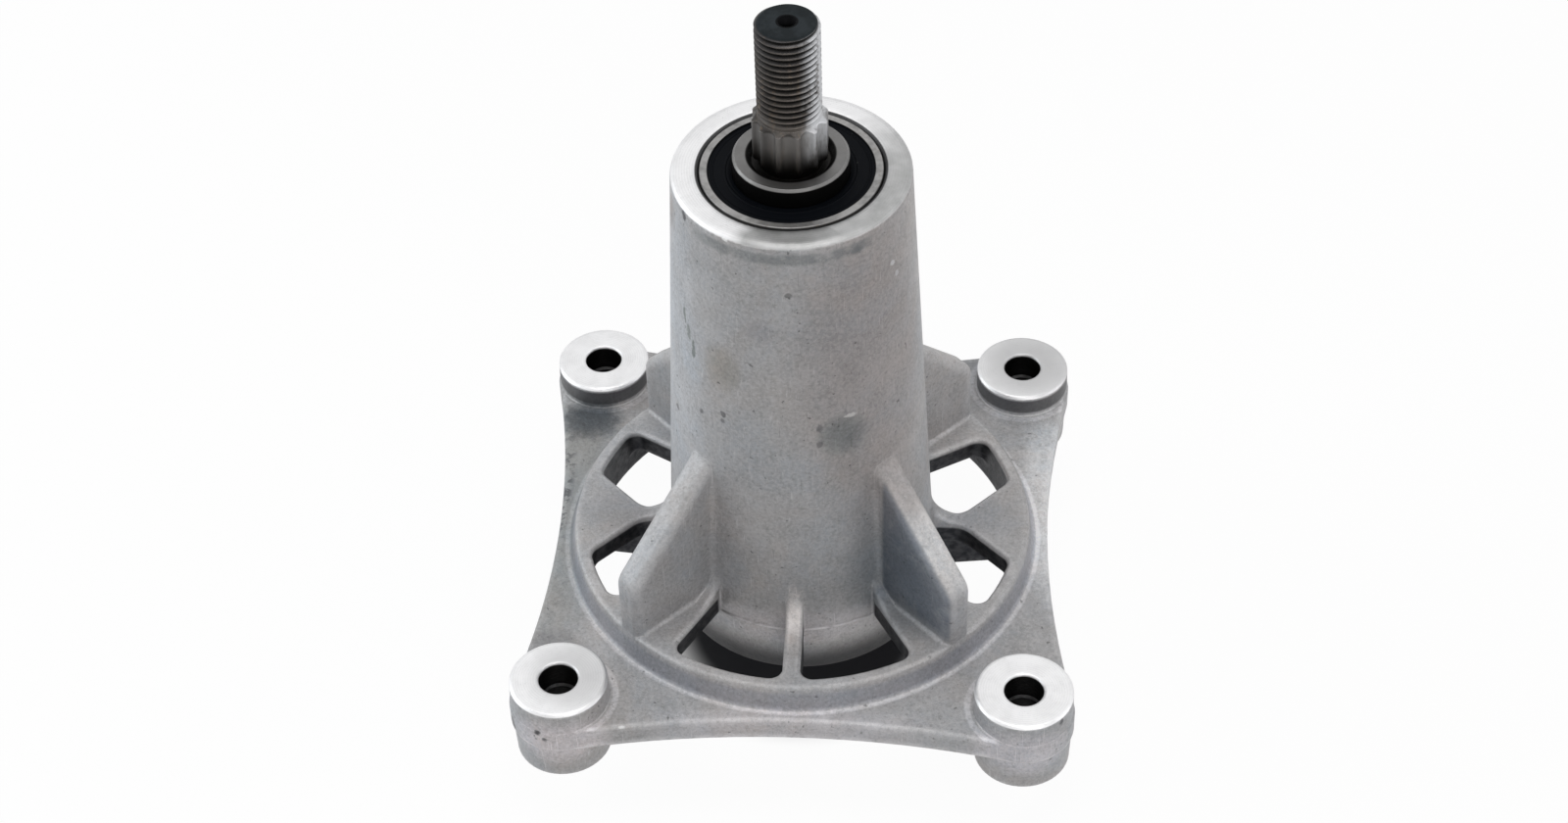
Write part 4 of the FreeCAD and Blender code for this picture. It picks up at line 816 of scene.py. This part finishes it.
class BLADEHUB_OT_shaft(bpy.types.Operator):
    """Make the threaded and splined shaft in place of the plain one"""

    bl_idname = "bladehub.shaft"
    bl_label = "Shaft"

    def execute(self, context):
        sizes = context.scene.blade_hub_shaft
        points, faces = shaft_surface(sizes)
        material = shaft_finish(context.scene.blade_hub_finishes, sizes)
        piece = mesh_object("shaft_surface", points, faces, material)
        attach(piece, "spindle")
        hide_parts("shaft")
        return {"FINISHED"}


class BLADEHUB_OT_housing(bpy.types.Operator):
    """Give the cast housing its skin and its faced surfaces"""

    bl_idname = "bladehub.housing"
    bl_label = "Housing"

    def execute(self, context):
        give(cast_finish(context.scene.blade_hub_finishes), "housing")
        return {"FINISHED"}


class BLADEHUB_OT_bearings(bpy.types.Operator):
    """Give the rings, seals, cages, balls and the spacer their finishes"""

    bl_idname = "bladehub.bearings"
    bl_label = "Bearings"

    def execute(self, context):
        finishes = context.scene.blade_hub_finishes
        ground, rubber, pressed = ring_finish(finishes), seal_finish(finishes), cage_finish(finishes)
        for side in SIDES:
            give(ground, side + "_outer_ring", side + "_inner_ring", side + "_balls")
            give(rubber, side + "_outer_seal", side + "_inner_seal")
            give(pressed, side + "_cage_top", side + "_cage_bottom", side + "_cage_rivets")
        give(sleeve_finish(finishes), "spacer_sleeve")
        return {"FINISHED"}


# Lamps: name of the power, place, height aimed at on the axis and size in metres, and tint
LAMPS = (
    ("key", (0, 0, 1.0), 0.02, 0.45, (1.0, 0.985, 0.965)),
    ("left", (-0.80, 0.05, 0.35), 0.02, 0.6, (0.92, 0.97, 1.0)),
    ("right", (0.85, -0.05, 0.30), 0.02, 0.6, (0.98, 0.98, 1.0)),
    ("front", (0.30, -0.72, 0.52), 0.0, 0.35, (1.0, 0.985, 0.97)),
)
HUB_SHADOW = (26.0, 42.0)  # inner and outer radius of the shadow's soft edge, in millimetres
FLOOR_REACH = 4.0  # from the axis to each side, in metres
FLOOR_GAP = 0.05  # below the part's lowest point, in millimetres


def area_lamp(name, place, aim, size, watts, tint):
    """Soft square lamp at place, turned to aim, in metres."""
    lamp = bpy.data.lights.new(name, "AREA")
    lamp.shape = "SQUARE"
    lamp.size = size
    lamp.energy = watts
    lamp.color = tint
    holder = bpy.data.objects.new(name, lamp)
    holder.location = place
    holder.rotation_euler = (Vector(aim) - Vector(place)).to_track_quat("-Z", "Y").to_euler()
    bpy.context.scene.collection.objects.link(holder)


def photo_camera(lens):
    """Camera at the photograph's place, heading and tilt."""
    place = Vector((34.5205, -479.749, 505.356)) * MM
    heading, tilt, roll = -0.0787984, -0.774625, -0.0350081
    ahead = Vector((math.sin(heading) * math.cos(tilt), math.cos(heading) * math.cos(tilt), math.sin(tilt)))
    right = ahead.cross(Vector((0, 0, 1))).normalized()
    up = right.cross(ahead)
    level = right * math.cos(roll) + up * math.sin(roll)
    upright = up * math.cos(roll) - right * math.sin(roll)
    turn = Matrix((level, upright, -ahead)).transposed().to_4x4()
    camera = bpy.data.cameras.new("photo_camera")
    camera.lens = lens
    camera.sensor_fit = "HORIZONTAL"
    camera.sensor_width = 36.0
    holder = bpy.data.objects.new("photo_camera", camera)
    holder.matrix_world = Matrix.Translation(place) @ turn
    bpy.context.scene.collection.objects.link(holder)
    bpy.context.scene.camera = holder


def white_floor():
    """Pale floor, white where it is seen, with a soft painted shadow under the hub."""
    m = Finish("white_paper")
    paper = m.node("ShaderNodeBsdfPrincipled", {}, {"Base Color": (0.8, 0.8, 0.8, 1), "Roughness": 1.0,
                                                    "Specular IOR Level": 0.0}).outputs[0]
    # Painted shadow, almost black, under the hub
    seen = m.mix(m.radius.ramp(*HUB_SHADOW), (0.004, 0.004, 0.005), (1, 1, 1))
    white = m.node("ShaderNodeEmission", {}, {"Color": seen, "Strength": 1.04}).outputs[0]
    mixed = m.node("ShaderNodeMixShader", {}, {0: m.seen_directly() * 0.92, 1: paper, 2: white})
    m.node("ShaderNodeOutputMaterial", {}, {"Surface": mixed.outputs[0]})
    return m.material


def studio_room(strength):
    """Pale room: light from above, dimmer towards the front, white where it is seen."""
    m = Room("white_room")
    above = m.z.ramp(-0.1, 0.95)
    front = m.y.ramp(-0.2, -0.9)
    level = m.mix((0.35 + 0.65 * above) * (1 - 0.45 * front), (0, 0, 0), (1, 1, 1))
    sky = m.node("ShaderNodeBackground", {}, {"Color": level, "Strength": strength}).outputs[0]
    white = m.node("ShaderNodeBackground", {}, {"Color": (1, 1, 1, 1), "Strength": 1.0}).outputs[0]
    mixed = m.node("ShaderNodeMixShader", {}, {0: m.seen_directly(), 1: sky, 2: white})
    m.node("ShaderNodeOutputWorld", {}, {"Surface": mixed.outputs[0]})
    return m.world


def floor_object():
    """Square floor just under the part's lowest point."""
    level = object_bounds()[0][2] - FLOOR_GAP * MM
    corners = [(x * FLOOR_REACH, y * FLOOR_REACH, level) for x, y in ((-1, -1), (1, -1), (1, 1), (-1, 1))]
    mesh = bpy.data.meshes.new("floor")
    mesh.from_pydata(corners, [], [(0, 1, 2, 3)])
    mesh.materials.append(white_floor())
    floor = bpy.data.objects.new("floor", mesh)
    bpy.context.scene.collection.objects.link(floor)
    return floor


class BLADEHUB_OT_stage(bpy.types.Operator):
    """Set up the camera, the lamps, the room and the white floor"""

    bl_idname = "bladehub.stage"
    bl_label = "Stage"

    def execute(self, context):
        settings = context.scene.blade_hub_stage
        photo_camera(settings.lens)
        for name, place, height, size, tint in LAMPS:
            area_lamp(name + "_lamp", place, (0, 0, height), size, getattr(settings, name), tint)
        context.scene.world = studio_room(settings.sky)
        floor = floor_object()
        floor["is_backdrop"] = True
        context.scene.view_settings.view_transform = "Standard"
        return {"FINISHED"}


class BLADEHUB_PT_panel(bpy.types.Panel):
    """Sizes, colours and steps of the blade hub"""

    bl_label = "Blade hub"
    bl_idname = "BLADEHUB_PT_panel"
    bl_space_type = "VIEW_3D"
    bl_region_type = "UI"
    bl_category = "Blade hub"

    def draw(self, context):
        for group in GROUPS:
            settings = getattr(context.scene, group)
            box = self.layout.box()
            for name in settings.__annotations__:
                box.prop(settings, name)
        for step in STEPS:
            self.layout.operator(step.bl_idname)


GROUPS = {
    "blade_hub_shaft": BladeHubShaftSizes,
    "blade_hub_finishes": BladeHubFinishes,
    "blade_hub_stage": BladeHubStage,
}
STEPS = (BLADEHUB_OT_housing, BLADEHUB_OT_bearings, BLADEHUB_OT_shaft, BLADEHUB_OT_stage)


def register():
    """Add the settings, the operators and the panel."""
    for item in (*GROUPS.values(), *STEPS, BLADEHUB_PT_panel):
        bpy.utils.register_class(item)
    for name, group in GROUPS.items():
        setattr(bpy.types.Scene, name, PointerProperty(type=group))


def unregister():
    """Take them away again."""
    for name in GROUPS:
        delattr(bpy.types.Scene, name)
    for item in (BLADEHUB_PT_panel, *reversed(STEPS), *reversed(list(GROUPS.values()))):
        bpy.utils.unregister_class(item)


def main():
    register()
    bpy.ops.bladehub.housing()
    bpy.ops.bladehub.bearings()
    bpy.ops.bladehub.shaft()
    bpy.ops.bladehub.stage()


if __name__ == "__main__":
    main()
